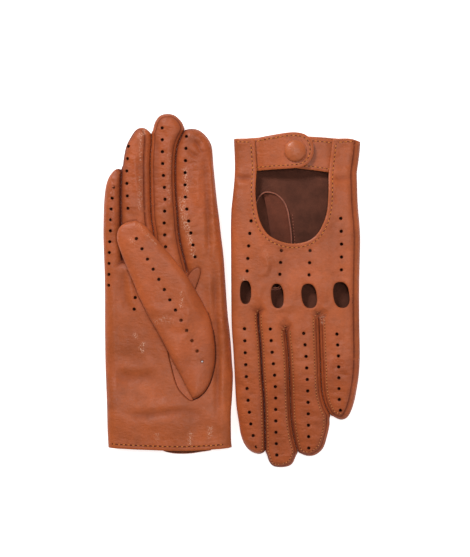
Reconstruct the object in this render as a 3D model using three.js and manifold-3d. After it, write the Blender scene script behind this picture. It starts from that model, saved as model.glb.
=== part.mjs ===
// A pair of unlined leather driving gloves, laid flat side by side: the right glove with its palm up and
// its fingers towards +Y, the left glove with its back up and its fingers towards -Y.
// Millimetres, +Z up. The origin is on the table, under the middle of the pair.
//
// Each glove is built in its own frame: x runs from the little finger's side to the index finger's side,
// y from the cuff to the fingertips, and z from the back of the hand to the palm. The right glove stands
// in that frame as it is. The left glove is the same pattern turned through its own centre point, which
// makes it a left hand lying back up.
import * as THREE from "three";
import { mergeVertices } from "three/addons/utils/BufferGeometryUtils.js";
import Module from "manifold-3d";

const wasm = await Module();
wasm.setup();

// ---------- driving dimensions ----------
const WALL = 0.9; // leather, with its seam allowance
const GAP = 0.3; // air left between two pieces that touch
const HAND_DEPTH = 9; // outside of the back to outside of the palm
const THUMB_DEPTH = 7;
const ROOT_Y = 126; // where the fingers leave the hand
const FINGER_FOLD = 70; // degrees that a finger folds up off the table
const THUMB_SWING = 40; // degrees that the thumb swings out from the palm
// The middle of each cuff's edge on the table.
const RIGHT_CUFF = { x: -43.35, y: -107.35 };
const LEFT_CUFF = { x: 44.25, y: 104.05 };
const MIDDLE_Z = HAND_DEPTH / 2;

// Snap strap across the back of the wrist.
const STRAP = { y: 10.5, halfWidth: 11.2, hingeX: 26.2, endX: -11.8, underRootX: -26, underEndX: 9 };
const PLY = 0.6; // one of the strap's two layers
const PLY_STEP = 0.8; // from one layer to the next
const STRAP_RISE = 2.6; // how far the closing tab stands out over the snap
const STRAP_RUN = 20; // length over which it does so
const UNDER_TAB_Z = 1.3;
const SNAP = { x: 0.9, y: 9.5, capRadius: 7.6, capHeight: 3.4 };

const FINGERS = ["little", "ring", "middle", "index"];
const HINGE_Y = { little: 163, ring: 173, middle: 177, index: 171 };

// Outlines: [y, x on the little finger's side, x on the index finger's side].
const RIGHT = {
  name: "right",
  foldSide: 1, // fingers fold towards the palm, which is up
  drape: [[-5, 6], [23, 6], [52, 0], [240, 0]],
  hand: [[0, -40.8, 42.6], [20, -41.5, 42.8], [44, -42.8, 44.3], [74, -43.5, 42.6], [114, -43.6, 39], [127, -44.2, 37.9]],
  little: [[125, -44.2, -32.7], [155, -44.9, -32.7], [170, -44.2, -32.7], [182, -41.5, -32.8], [189, -38, -33.4], [191.5, -36.4, -34.6]],
  ring: [[125, -32, -11.6], [185, -32, -11.9], [200, -30.6, -12.1], [210, -28, -12.6], [216, -24, -14], [218.3, -21, -16.5]],
  middle: [[125, -11, 6.8], [150, -11, 5], [190, -11, 4.2], [204, -11, 4.7], [216, -10.4, 7.6], [224, -7.5, 6.6], [228.3, -4, 2.6]],
  index: [[125, 9.4, 38], [145, 6.8, 36], [160, 5.8, 34], [190, 5.2, 30.8], [204, 6, 29], [212, 8.6, 25.4], [218, 13.4, 20.4]],
};
const LEFT = {
  name: "left",
  foldSide: -1, // fingers fold towards the back, which is up
  drape: [[-5, -4], [22.5, -4], [33.5, -7.3], [160, -7.3], [216, 0], [240, 0]],
  hand: [[0, -43.8, 41.6], [24, -42.2, 41.2], [42, -42.4, 42.6], [60, -43.6, 43.8], [78, -44, 43.8], [100, -43.2, 43.6], [127, -43.6, 43.6]],
  little: [[125, -43.6, -18.4], [152, -43.8, -19], [168, -42.6, -19.6], [180, -40.6, -22], [188, -38.2, -25], [192, -35, -29]],
  ring: [[125, -17.6, 6], [165, -18.4, 3.8], [180, -20.6, 3], [190, -23.2, 2.4], [204, -22.4, 0.4], [212, -18.4, -2.4], [217, -14, -6]],
  middle: [[125, 6.8, 24.6], [165, 4.8, 22.6], [198, 3, 20.6], [212, 0.4, 19.6], [221, 1.8, 18.2], [225, 4.8, 15.4]],
  index: [[125, 26, 43.5], [160, 24, 42], [176, 22.9, 41], [188, 22, 39.6], [200, 21, 37.5], [209, 20.6, 34.6], [216.5, 23, 28.5]],
};

// Thumb: the free stall lies across the palm, turned this far from +y towards the little finger.
const THUMB = { lean: 28.5, pivotX: -4.3, pivotY: 111.5, holeX: 15.4, holeY: 70, holeHalfX: 12, holeHalfY: 33 };
// [distance along the thumb past its pivot, little finger's side, index finger's side]
const THUMB_END = [[0, -15.6, 15.6], [24, -13.6, 13.2], [36, -11.6, 11.4], [43, -8.6, 8.6], [47.4, -4, 4]];
// The sewn-in root of the thumb, in the glove's own x and y.
const THUMB_ROOT = [[34, 10, 26], [42, 8, 29], [56, 3.4, 30.8], [70, -2, 30.8], [84, -9, 28.4], [97, -15.4, 23.2]];

const COLOURS = { tan: 0xab5f40, suede: 0x643a2f, metal: 0xb08d57 };

// ---------- solids ----------
const tan = new THREE.MeshStandardMaterial({ color: COLOURS.tan, roughness: 0.5, metalness: 0 });
const suede = new THREE.MeshStandardMaterial({ color: COLOURS.suede, roughness: 0.9, metalness: 0 });
const metal = new THREE.MeshStandardMaterial({ color: COLOURS.metal, roughness: 0.3, metalness: 0.9 });

function radians(degrees) {
  return (degrees * Math.PI) / 180;
}

function toSolid(geometry) {
  const bare = geometry.clone();
  bare.deleteAttribute("normal");
  bare.deleteAttribute("uv");
  const merged = mergeVertices(bare, 1e-4);
  const vertProperties = merged.attributes.position.array;
  const triVerts = new Uint32Array(merged.index.array);
  return new wasm.Manifold(new wasm.Mesh({ numProp: 3, vertProperties, triVerts }));
}

function toGeometry(solid) {
  const mesh = solid.getMesh();
  const points = new Float32Array(mesh.vertProperties);
  const geometry = new THREE.BufferGeometry();
  geometry.setAttribute("position", new THREE.BufferAttribute(points, 3));
  geometry.setIndex(new THREE.BufferAttribute(new Uint32Array(mesh.triVerts), 1));
  geometry.computeVertexNormals();
  return geometry;
}

// A closed solid skinned over rings of [x, y, z] points, with flat ends.
// plane turns one ring's points into 2-D for the triangles of its end.
function loft(rings, plane) {
  const count = rings[0].length;
  const clockwise = THREE.ShapeUtils.isClockWise(rings[0].map(plane));
  const ordered = clockwise ? rings.map((ring) => [...ring].reverse()) : rings;
  const faces = [];
  for (let r = 0; r + 1 < ordered.length; r++) {
    for (let i = 0; i < count; i++) {
      const a = r * count + i;
      const b = r * count + ((i + 1) % count);
      faces.push([a, b, b + count], [a, b + count, a + count]);
    }
  }
  const cap = THREE.ShapeUtils.triangulateShape(ordered[0].map(plane), []);
  const last = (ordered.length - 1) * count;
  for (const [a, b, c] of cap) {
    faces.push([a, c, b], [a + last, b + last, c + last]);
  }
  const geometry = new THREE.BufferGeometry();
  geometry.setAttribute("position", new THREE.Float32BufferAttribute(ordered.flat(2), 3));
  geometry.setIndex(faces.flat());
  return facingOut(geometry);
}

function facingOut(geometry) {
  const solid = toSolid(geometry);
  if (solid.volume() > 0) {
    return solid;
  }
  const index = geometry.index.array;
  for (let i = 0; i < index.length; i += 3) {
    [index[i + 1], index[i + 2]] = [index[i + 2], index[i + 1]];
  }
  return toSolid(geometry);
}

function prism(shape, low, high, curveSegments = 8) {
  const geometry = new THREE.ExtrudeGeometry(shape, { depth: high - low, bevelEnabled: false, curveSegments });
  return toSolid(geometry.translate(0, 0, low));
}

// A turned piece about the snap's own axis; profile is [radius, z] points from the axis or a closed ring.
function turned(profile, x, y, segments = 20) {
  const points = profile.map(([radius, z]) => new THREE.Vector2(radius, z));
  const geometry = new THREE.LatheGeometry(points, segments);
  geometry.rotateX(Math.PI / 2);
  return facingOut(geometry.translate(x, y, 0));
}

function interpolate(rows, y) {
  const after = rows.findIndex((row) => row[0] >= y);
  if (after < 1) {
    return (after === 0 ? rows[0] : rows[rows.length - 1]).slice(1);
  }
  const [low, high] = [rows[after - 1], rows[after]];
  const share = (y - low[0]) / (high[0] - low[0]);
  return low.slice(1).map((value, i) => value + share * (high[i + 1] - value));
}

// The stations of an outline between two y values, with the drape's own corners added.
function stations(outline, drape, from, to) {
  const corners = [...outline, ...drape].map((row) => row[0]).filter((y) => y > from + 0.5 && y < to - 0.5);
  const ys = [from, ...corners.sort((a, b) => a - b), to];
  return [...new Set(ys)].map((y) => [y, ...interpolate(outline, y)]);
}

// section(x0, x1) gives the ring of [x, z] points of one cross-section.
function strip(shape, outline, from, to, section) {
  const rings = stations(outline, shape.drape, from, to).map(([y, x0, x1]) => {
    const [lift] = interpolate(shape.drape, y);
    return section(x0, x1).map(([x, z]) => [x, y, z + lift]);
  });
  return loft(rings, ([x, , z]) => new THREE.Vector2(x, z));
}

function slab(low, high) {
  return (x0, x1) => [[x0, low], [x1, low], [x1, high], [x0, high]];
}

// The back turns round the index finger's side, and the palm round the little finger's side.
function backSection(x0, x1) {
  const top = HAND_DEPTH - WALL - GAP;
  return [[x0, 0], [x1, 0], [x1, top], [x1 - WALL, top], [x1 - WALL, WALL], [x0, WALL]];
}

function palmSection(x0, x1) {
  const low = WALL + GAP;
  const inner = HAND_DEPTH - WALL;
  return [[x0, low], [x0 + WALL, low], [x0 + WALL, inner], [x1, inner], [x1, HAND_DEPTH], [x0, HAND_DEPTH]];
}

function tubeSection(inset, bevel) {
  return (x0, x1) => {
    const [left, right, low, high] = [x0 + inset, x1 - inset, inset, HAND_DEPTH - inset];
    const cut = Math.min(bevel, (right - left) / 3);
    return [
      [left + cut, low], [right - cut, low], [right, low + cut], [right, high - cut],
      [right - cut, high], [left + cut, high], [left, high - cut], [left, low + cut],
    ];
  };
}

// ---------- one glove's pieces ----------
// What lies past a finger's fold line: straight on the outside of the fold, and cut back on the inside
// by half of the fold's angle. side is 1 for what is past the line and -1 for what comes before it.
function pastFold(shape, finger, side) {
  const y = HINGE_Y[finger];
  const [lift] = interpolate(shape.drape, y);
  const reach = HAND_DEPTH;
  const slope = Math.tan(radians(FINGER_FOLD / 2)) * reach;
  const edge = y - (side * GAP) / 2;
  const far = y + side * 80;
  const axisZ = MIDDLE_Z + lift;
  const inside = axisZ + shape.foldSide * reach;
  const outside = axisZ - shape.foldSide * reach;
  const [x0, x1] = [interpolate(shape[finger], y)[0] - 5, interpolate(shape[finger], y)[1] + 5];
  const outline = [[edge, outside], [edge, axisZ], [edge - side * slope, inside], [far, inside], [far, outside]];
  const rings = [x0, x1].map((x) => outline.map(([py, pz]) => [x, py, pz]));
  return loft(rings, ([, py, pz]) => new THREE.Vector2(py, pz));
}

function leaf(shape, handSection, fingerSection) {
  let solid = strip(shape, shape.hand, 0, ROOT_Y, handSection);
  for (const finger of FINGERS) {
    const reach = HINGE_Y[finger] + 2;
    const whole = strip(shape, shape[finger], ROOT_Y - 1, reach, fingerSection(finger));
    solid = solid.add(whole.subtract(pastFold(shape, finger, 1)));
  }
  return solid;
}

function cutOut() {
  const shape = new THREE.Shape();
  shape.moveTo(26.4, -8);
  shape.lineTo(26.6, 46);
  shape.bezierCurveTo(26.4, 62, 14, 72.6, 1, 72.6);
  shape.bezierCurveTo(-12, 72.6, -17.6, 62, -20.4, 44);
  shape.lineTo(-22.4, 24);
  shape.lineTo(-26.2, 21);
  shape.lineTo(-26.2, -8);
  return prism(shape, -20, WALL + GAP + HAND_DEPTH);
}

function oval(x, y, halfX, halfY, low, high) {
  const shape = new THREE.Shape().absellipse(x, y, halfX, halfY, 0, 2 * Math.PI);
  return prism(shape, low, high, 8);
}

// Ventilation holes over the knuckles: [x, y, half width, half length].
const KNUCKLES = [[-31, 107.4, 5.2, 8.8], [-9.2, 108, 5, 8.4], [12.4, 108, 4.6, 8.2], [33.4, 105.6, 4.3, 8]];

function backPanel(shape) {
  const fingerSection = (finger) => (finger === "index" ? backSection : slab(0, WALL));
  let solid = leaf(shape, backSection, fingerSection);
  // The cut-out and the knuckle holes go through the back only, not through the turned-up side.
  solid = solid.subtract(cutOut());
  for (const [x, y, halfX, halfY] of KNUCKLES) {
    solid = solid.subtract(oval(x, y, halfX, halfY, -12, HAND_DEPTH));
  }
  return solid;
}

// The quirk is a small pointed gusset let into the palm between the thumb and the index finger.
function quirkShape(grow) {
  const shape = new THREE.Shape();
  shape.moveTo(16.6, 108.6 - grow);
  shape.quadraticCurveTo(23.4 + grow, 116, 21 + grow, 121.6 + grow);
  shape.quadraticCurveTo(15.4 - grow, 121 + grow, 12.6 - grow, 113.6);
  shape.closePath();
  return shape;
}

function palmPanel(shape) {
  const fingerSection = (finger) => (finger === "little" ? palmSection : slab(HAND_DEPTH - WALL, HAND_DEPTH));
  const solid = leaf(shape, palmSection, fingerSection);
  const { holeX, holeY, holeHalfX, holeHalfY } = THUMB;
  const thumbHole = oval(holeX, holeY, holeHalfX, holeHalfY, -20, 20);
  return solid.subtract(thumbHole).subtract(prism(quirkShape(GAP), -20, 20));
}

function quirk(shape) {
  const [lift] = interpolate(shape.drape, 115);
  return prism(quirkShape(0), HAND_DEPTH - WALL + lift, HAND_DEPTH + lift);
}

// A side wall between two fingers, from the crotch to the fold. side is 1 on the index finger's side.
function fourchette(shape, finger, side) {
  const outline = shape[finger].map(([y, x0, x1]) => (side > 0 ? [y, x1 - WALL, x1] : [y, x0, x0 + WALL]));
  const section = slab(WALL + GAP, HAND_DEPTH - WALL - GAP);
  const whole = strip(shape, outline, ROOT_Y + GAP, HINGE_Y[finger] + 2, section);
  return whole.subtract(pastFold(shape, finger, 1));
}

// The closed end of a finger: back, palm and side walls in one, open towards the hand.
function fingerEnd(shape, finger) {
  const outline = shape[finger];
  const tip = outline[outline.length - 1];
  const from = HINGE_Y[finger] - HAND_DEPTH;
  const outer = strip(shape, outline, from, tip[0], tubeSection(0, 1.6));
  const inner = strip(shape, outline, from - 1, tip[0] - 3, tubeSection(WALL, 1.2));
  return outer.subtract(inner).subtract(pastFold(shape, finger, -1));
}

// ---------- thumb ----------
const THUMB_Z = HAND_DEPTH + GAP;

function thumbSection(x0, x1, inset, bevel) {
  const [left, right, low, high] = [x0 + inset, x1 - inset, THUMB_Z + inset, THUMB_Z + THUMB_DEPTH - inset];
  const cut = Math.min(bevel, (right - left) / 3);
  return [
    [left + cut, low], [right - cut, low], [right, low + cut], [right, high - cut],
    [right - cut, high], [left + cut, high], [left, high - cut], [left, low + cut],
  ];
}

// A point at [along, across] of the thumb's own axis, in the glove's frame.
function thumbPoint(shape, along, across, z) {
  const lean = radians(THUMB.lean);
  const x = THUMB.pivotX - along * Math.sin(lean) + across * Math.cos(lean);
  const y = THUMB.pivotY + along * Math.cos(lean) + across * Math.sin(lean);
  return [x, y, z + interpolate(shape.drape, THUMB.pivotY)[0]];
}

function thumbLoft(shape, rows, inset, bevel) {
  const rings = rows.map(([along, x0, x1]) =>
    thumbSection(x0, x1, inset, bevel).map(([across, z]) => thumbPoint(shape, along, across, z)),
  );
  return loft(rings, ([x, , z]) => new THREE.Vector2(x, z));
}

// The wedge on the index finger's side of the thumb's pivot that its swing needs, with a gap across.
function thumbWedge(shape) {
  const reach = 26;
  const slope = Math.tan(radians(THUMB_SWING / 2)) * reach;
  const outline = [[GAP / 2, -reach], [GAP / 2, 0], [slope, reach], [-slope, reach], [-GAP / 2, 0], [-GAP / 2, -reach]];
  const rings = [THUMB_Z - 2, THUMB_Z + THUMB_DEPTH + 2].map((z) =>
    outline.map(([along, across]) => thumbPoint(shape, along, across, z)),
  );
  return loft(rings, ([x, y]) => new THREE.Vector2(x, y));
}

function thumbEnd(shape) {
  const start = -12;
  const rows = [[start, ...THUMB_END[0].slice(1)], ...THUMB_END];
  const last = THUMB_END[THUMB_END.length - 1][0];
  const innerRows = [[start - 1, ...THUMB_END[0].slice(1)], ...THUMB_END.slice(0, -1), [last - 2, -5.4, 5.4]];
  const hollow = thumbLoft(shape, rows, 0, 1.6).subtract(thumbLoft(shape, innerRows, WALL, 1.2));
  return hollow.subtract(thumbWedge(shape)).subtract(thumbSide(shape, -1));
}

// Everything on one side of the thumb's pivot, far out from it.
function thumbSide(shape, side) {
  const outline = [[0, -60], [0, 60], [side * 140, 60], [side * 140, -60]];
  const rings = [-20, 40].map((z) => outline.map(([along, across]) => thumbPoint(shape, along, across, z)));
  return loft(rings, ([x, y]) => new THREE.Vector2(x, y));
}

// The root stands over the thumb hole and is open to the hand through it.
function thumbRoot(shape) {
  const top = [[109, -20.6, 17.4], [122, -26, 12]];
  const rows = [...THUMB_ROOT, ...top];
  const outer = strip(shape, rows, rows[0][0], 122, (x0, x1) => thumbSection(x0, x1, 0, 1.6));
  const inner = strip(shape, rows, rows[0][0] + 3, 123, (x0, x1) => thumbSection(x0, x1, WALL, 1.2));
  const { holeX, holeY, holeHalfX, holeHalfY } = THUMB;
  const hole = oval(holeX, holeY, holeHalfX - 1, holeHalfY - 1, -5, THUMB_Z + 3);
  return outer.subtract(inner).subtract(hole).subtract(thumbWedge(shape)).subtract(thumbSide(shape, 1));
}

// ---------- snap strap ----------
// The closing tab stands out smoothly from its sewn edge to the snap.
function tabLift(shape, x) {
  const share = Math.min(1, Math.max(0, (STRAP.hingeX - x) / STRAP_RUN));
  const [lift] = interpolate(shape.drape, STRAP.y);
  return lift - STRAP_RISE * share * share * (3 - 2 * share);
}

function roundEnded(rootX, endX) {
  const { y, halfWidth } = STRAP;
  const towards = Math.sign(endX - rootX);
  const centre = endX - towards * halfWidth;
  const shape = new THREE.Shape();
  shape.moveTo(rootX, y - halfWidth);
  shape.lineTo(centre, y - halfWidth);
  shape.absarc(centre, y, halfWidth, -Math.PI / 2, Math.PI / 2, towards < 0);
  shape.lineTo(rootX, y + halfWidth);
  shape.closePath();
  return shape;
}

function snapHole(radius) {
  return oval(SNAP.x, SNAP.y, radius, radius, -30, 30);
}

function closingPly(shape, offset, inset) {
  const steps = [0, 0.26, 0.51, 0.76, 1, 2.5].map((share) => STRAP.hingeX - STRAP_RUN * share);
  const rings = steps.map((x) => {
    const z = tabLift(shape, x) + offset;
    return [[x, -20, z], [x, 40, z], [x, 40, z + PLY], [x, -20, z + PLY]];
  });
  const band = loft(rings, ([, y, z]) => new THREE.Vector2(y, z));
  const outline = prism(roundEnded(STRAP.hingeX + 1, STRAP.endX + inset), -30, 30);
  return band.intersect(outline).subtract(snapHole(1.5));
}

function underPly(shape, offset, inset) {
  const [lift] = interpolate(shape.drape, STRAP.y);
  const low = UNDER_TAB_Z + offset + lift;
  const outline = prism(roundEnded(STRAP.underRootX, STRAP.underEndX - inset), low, low + PLY);
  return outline.subtract(snapHole(1.6));
}

// Snap parts, as [radius, z] profiles. z is measured from the closing tab's outer face over the snap.
function snapPiece(shape, profile) {
  const face = tabLift(shape, SNAP.x);
  const closed = profile[0][0] > 0 ? [...profile, profile[0]] : profile;
  return turned(closed.map(([radius, z]) => [radius, z + face]), SNAP.x, SNAP.y);
}

function dome(radius, height, base, steps) {
  const points = [];
  for (let i = 0; i <= steps; i++) {
    const angle = (Math.PI / 2) * (i / steps);
    points.push([radius * Math.sin(angle), base - height * Math.cos(angle)]);
  }
  points[0][0] = 0;
  return points;
}

const SNAP_PARTS = {
  snap_cover: () => {
    const { capRadius, capHeight } = SNAP;
    const outer = dome(capRadius, capHeight - 0.15, -0.15, 6);
    const inner = dome(capRadius - PLY, capHeight - 0.15 - PLY, -0.15, 6);
    return [...outer, ...inner.reverse()];
  },
  snap_cap: () => [...dome(SNAP.capRadius - PLY - GAP, 2.2, -0.2, 5), [1.1, -0.2], [1.1, 1.85], [0, 1.85]],
  snap_socket: () => [[1.3, 1.55], [5, 1.55], [5, 3.05], [2.5, 3.05], [2.5, 1.95], [1.3, 1.95]],
  snap_stud: () => [[0, 2.1], [1.6, 2.1], [2, 2.5], [2, 2.9], [1.7, 3.2], [4.4, 3.2], [4.4, 3.75], [1.35, 3.75], [1.35, 2.6], [0, 2.6]],
  snap_eyelet: () => [[0, 2.8], [1.1, 2.8], [1.1, 5.45], [4.2, 5.45], [4.2, 5.9], [0, 5.9]],
};

// ---------- assembly ----------
function addPiece(group, name, solid, material) {
  const mesh = new THREE.Mesh(toGeometry(solid), material);
  mesh.name = name;
  group.add(mesh);
}

function glove(shape) {
  const group = new THREE.Group();
  const add = (name, solid, material) => addPiece(group, `${shape.name}_${name}`, solid, material);
  add("back_panel", backPanel(shape), tan);
  add("palm_panel", palmPanel(shape), tan);
  add("thumb_quirk", quirk(shape), tan);
  add("thumb_root", thumbRoot(shape), tan);
  add("thumb_end", thumbEnd(shape), tan);
  for (const finger of FINGERS) {
    add(`${finger}_finger_end`, fingerEnd(shape, finger), tan);
  }
  const walls = [["little", 1], ["ring", -1], ["ring", 1], ["middle", -1], ["middle", 1], ["index", -1]];
  for (const [finger, side] of walls) {
    const place = side > 0 ? "inner" : "outer";
    add(`${finger}_fourchette_${place}`, fourchette(shape, finger, side), tan);
  }
  add("closing_tab", closingPly(shape, 0, 0), tan);
  add("closing_tab_lining", closingPly(shape, PLY_STEP, 0.6), suede);
  add("under_tab", underPly(shape, 0, 0), tan);
  add("under_tab_lining", underPly(shape, PLY_STEP, 0.6), suede);
  for (const [name, profile] of Object.entries(SNAP_PARTS)) {
    add(name, snapPiece(shape, profile()), name === "snap_cover" ? tan : metal);
  }
  return group;
}

const right = glove(RIGHT);
right.position.set(RIGHT_CUFF.x, RIGHT_CUFF.y, 0);

const left = glove(LEFT);
left.scale.set(-1, -1, -1);
left.position.set(LEFT_CUFF.x, LEFT_CUFF.y, HAND_DEPTH);

const gloves = new THREE.Group();
gloves.add(right, left);

export default gloves;
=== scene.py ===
"""A pair of unlined leather driving gloves laid flat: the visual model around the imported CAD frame.

Each glove is built in its own frame in millimetres, as the CAD is: x runs from the little finger's side to
the index finger's side, y from the cuff to the fingertips, z from the back of the hand to the palm. The
left glove is the same pattern turned through its own centre point.
"""

import math

import bpy
import numpy as np
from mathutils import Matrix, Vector, noise
from mathutils.bvhtree import BVHTree
from mathutils.geometry import delaunay_2d_cdt
from mathutils.kdtree import KDTree


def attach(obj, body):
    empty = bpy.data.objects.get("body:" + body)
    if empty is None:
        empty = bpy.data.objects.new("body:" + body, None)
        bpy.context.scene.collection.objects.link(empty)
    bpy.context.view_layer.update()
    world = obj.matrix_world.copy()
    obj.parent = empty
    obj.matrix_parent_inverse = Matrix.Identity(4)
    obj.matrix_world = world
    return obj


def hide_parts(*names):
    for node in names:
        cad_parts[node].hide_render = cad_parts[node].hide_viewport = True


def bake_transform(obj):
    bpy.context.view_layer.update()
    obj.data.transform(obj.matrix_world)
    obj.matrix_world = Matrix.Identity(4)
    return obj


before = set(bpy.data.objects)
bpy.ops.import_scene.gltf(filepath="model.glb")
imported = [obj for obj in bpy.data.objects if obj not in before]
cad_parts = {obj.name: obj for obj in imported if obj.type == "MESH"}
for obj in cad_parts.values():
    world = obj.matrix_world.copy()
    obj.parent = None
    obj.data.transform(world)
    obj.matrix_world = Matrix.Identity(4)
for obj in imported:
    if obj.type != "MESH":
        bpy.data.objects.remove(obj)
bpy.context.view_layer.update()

# ---------- the frame the CAD is built in ----------
MM = 0.001
DEPTH = 9.0
MID = DEPTH / 2
RIGHT_CUFF = (-43.35, -107.35)
LEFT_CUFF = (44.25, 104.05)
FINGERS = ("index", "middle", "ring", "little")
FOURCHETTES = ("little_fourchette_inner", "ring_fourchette_outer", "ring_fourchette_inner",
               "middle_fourchette_outer", "middle_fourchette_inner", "index_fourchette_outer")
HINGE_Y = {"little": 163, "ring": 173, "middle": 177, "index": 171}
BEND = 12.0  # where a finger's own piece starts: this far before its hinge
PALM, BACK = 1, -1
RAY_START = 60  # from the table to where rays to the leather start

# ---------- leather ----------
SKIN = 0.8
HEM = 1.45  # a turned edge, two layers
HALF = 4.3  # half the thickness of a flat glove
ROUND = 6.5  # radius of the rounded sides
GRID = 1.5
RIM_STEP = 1.3
ROWS = (0.45, 1.0, 1.6, 2.3, 3.1, 4.0, 5.0)
EDGE_ROWS = (0.45, 0.95, 1.6, 2.4, 3.3)
HOLE = 1.12  # radius of a ventilation hole
RING = 10  # points round a ventilation hole
SEAMED = 0.3  # a seam nearer the side than this is not shown
SEAM_ROW = 0.13  # the points each side of a seam
SEAM_DEPTH = 0.42
HEM_WIDTH = 4.2
HEM_ROW = 2.7  # the hem's stitches from its edge
# In these two, the tone is painted shade at the edge of the opening.
KNUCKLE_EDGE = (0.32, 0.25, 0.8)  # how far the leather sinks, its tone and the tone's reach
THUMB_HOLE_EDGE = (0.6, 1.1, 1.1)
PALM_GAP = 0.1  # from the table to the left glove's palm
BACK_GAP = 0.45  # from the table to the right glove's back, with room for its stitches
FINGER_GAP = 0.05  # half the space between two fingers in the flat pattern
NEAR_FINGERS = 3.4  # fingers nearer than this are brought together
TOUCHING = 0.4  # rims nearer than this are moved most of the way together at the end
TOUCHING_SHARE = 0.47

# Outlines, one run for each finger, from the crotch on its index side (or the cuff) over the tip and down
# its other side.
RIGHT = {
    "index": [
        (43.6, 0), (43.1, 6.7), (43, 23), (43.7, 33), (44.4, 47.5), (43.7, 58.4), (43, 69.3), (42, 80.2),
        (41, 88.3), (40, 100.6), (38.9, 116.9), (37.9, 130.5), (36.2, 144.8), (34.9, 156.3),
        (33.5, 167.2), (31.8, 183.5), (30.8, 194.4), (30, 204.5), (28.2, 209.6), (25, 213.8), (20.7, 217),
        (16.4, 217.8), (13.2, 217.3), (10.9, 215.4), (9, 212.2), (7.2, 208), (6, 203.5), (5.3, 197),
        (5.1, 190.2), (5.3, 175.9), (6.4, 161.5), (7.4, 147.3), (9.2, 136.5), (11.7, 125.8), (12.9, 119),
    ],
    "middle": [
        (12.9, 119), (11.1, 125.8), (8.4, 136.5), (6.7, 147.3), (5.5, 161.5), (4.5, 175.9), (4.3, 190.2),
        (5, 201), (6.2, 206.8), (7.9, 211.6), (9.8, 215.4), (10.6, 218.2), (9.9, 221.3), (7.6, 224.4),
        (4.2, 227.1), (-0.1, 228.1), (-5.1, 227.1), (-8.3, 223.8), (-10.1, 218.9), (-10.9, 211.7),
        (-11.5, 197.4), (-11.5, 183), (-11.2, 168.8), (-10.4, 154.4), (-9.4, 147.3), (-9.1, 135.6),
    ],
    "ring": [
        (-9.1, 135.6), (-10.7, 147.5), (-12.3, 155.8), (-12.8, 168.8), (-13.1, 183), (-13.2, 196),
        (-12.7, 202), (-12.1, 208), (-12.3, 213), (-14.4, 217.2), (-18.3, 218.6), (-22.3, 216.9),
        (-25.9, 211.7), (-28.7, 206), (-30.2, 199.5), (-31.2, 191.7), (-32, 183), (-32.1, 168.6),
        (-31.9, 152.2), (-31.6, 141.4), (-31.5, 126.5),
    ],
    "little": [
        (-31.5, 126.5), (-32.4, 141.4), (-32.7, 152.2), (-32.9, 168.6), (-32.5, 182.2), (-32.3, 187.8),
        (-33.6, 190.4), (-36.4, 189.8), (-38.8, 187.4), (-40.8, 184.4), (-42.7, 178.8), (-43.8, 170.2),
        (-44.3, 160.4), (-44.5, 144.8), (-44.1, 131.2), (-43.6, 117.6), (-43.4, 100.6), (-43.4, 80.2),
        (-43.1, 58.4), (-42.4, 42.8), (-41.7, 29.2), (-41.2, 12.2), (-40.6, 0),
    ],
}
LEFT = {
    "index": [
        (42.7, 1), (42.3, 8.8), (42, 17), (42.1, 25.2), (42.7, 33.3), (43.6, 42), (44.4, 50), (44.7, 62),
        (44.6, 78), (44.5, 98), (44.3, 122), (43.9, 132.6), (43.1, 143.5), (42.4, 155.7), (41.8, 168),
        (41.4, 176.1), (40.8, 184.3), (39.4, 193.8), (38.1, 202), (36.2, 208.1), (33.6, 212.3),
        (30, 215.2), (25.9, 216.5), (22.9, 215.6), (21.6, 212), (21.7, 202), (22.4, 179.1), (23.6, 163.9),
        (25, 139.7), (26.2, 128.3), (26.1, 119.5),
    ],
    "middle": [
        (26.1, 119.5), (25.3, 128.3), (24.1, 139.7), (22.7, 163.9), (21.5, 179.1), (20.8, 202),
        (20.6, 210.8), (19.8, 217.3), (18.1, 222.3), (15.4, 224.9), (10.8, 225.6), (6, 225.1),
        (2.7, 223.3), (0.7, 219.4), (-0.3, 214.8), (2.3, 203.5), (4, 190.5), (4.8, 171.6), (5.8, 148.8),
        (7.3, 131),
    ],
    "ring": [
        (7.3, 131), (4.9, 148.8), (3.9, 171.6), (3, 190.5), (1.3, 203.5), (-0.9, 212), (-3.2, 216),
        (-7.5, 217.8), (-11.9, 217.6), (-15.6, 215.6), (-18.9, 211.8), (-21.3, 204), (-22.9, 195.2),
        (-21.9, 188.4), (-18.9, 181.6), (-16.8, 171.6), (-16.1, 156.4), (-15.3, 122.5),
    ],
    "little": [
        (-15.3, 122.5), (-16.9, 156.4), (-17.8, 171.6), (-19.8, 181.2), (-22.5, 187), (-25.8, 190.7),
        (-30.4, 192.8), (-34.6, 191.5), (-37.4, 187), (-39.6, 180.2), (-41.2, 172), (-42.6, 161.8),
        (-43.2, 148.2), (-43, 134.6), (-42.8, 121), (-42.8, 100.6), (-43.1, 85), (-43.4, 70), (-43, 59.8),
        (-42.2, 51), (-41.6, 41.5), (-41.4, 30.6), (-41.4, 23.8), (-42.4, 17), (-43.4, 8.8), (-43.8, 3),
    ],
}
# Height of the glove's middle above where a flat glove would lie: the right cuff stands on its snap, and the
# left glove on its thumb. Local z is down on the left glove.
DRAPE = {
    "right": [(-9, 6), (20, 6), (56, 0), (240, 0)],
    "left": [(-9, -4), (20, -4), (36, -7.3), (158, -7.3), (218, 0), (240, 0)],
}
# The cuff's edge from the little finger's side to the index finger's side.
CUFF = {
    ("right", PALM): [(-40.6, 0), (-30, -0.7), (-15, -1.4), (0, -1.9), (15, -1.9), (30, -1.2), (43.6, 0)],
    ("right", BACK): [
        (-40.6, 0), (-25.7, -1.4), (-12.1, -3.2), (1.5, -4.2), (15.1, -3.8), (28.7, -1.8), (43.6, 0),
    ],
    ("left", PALM): [(-43.8, 3), (-30, 0.4), (-10, -1.2), (10, -1.4), (30, -0.2), (42.7, 1)],
    ("left", BACK): [(-43.8, 3), (-36, 1), (-24.8, 1.1), (42.7, 1)],
}
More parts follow.
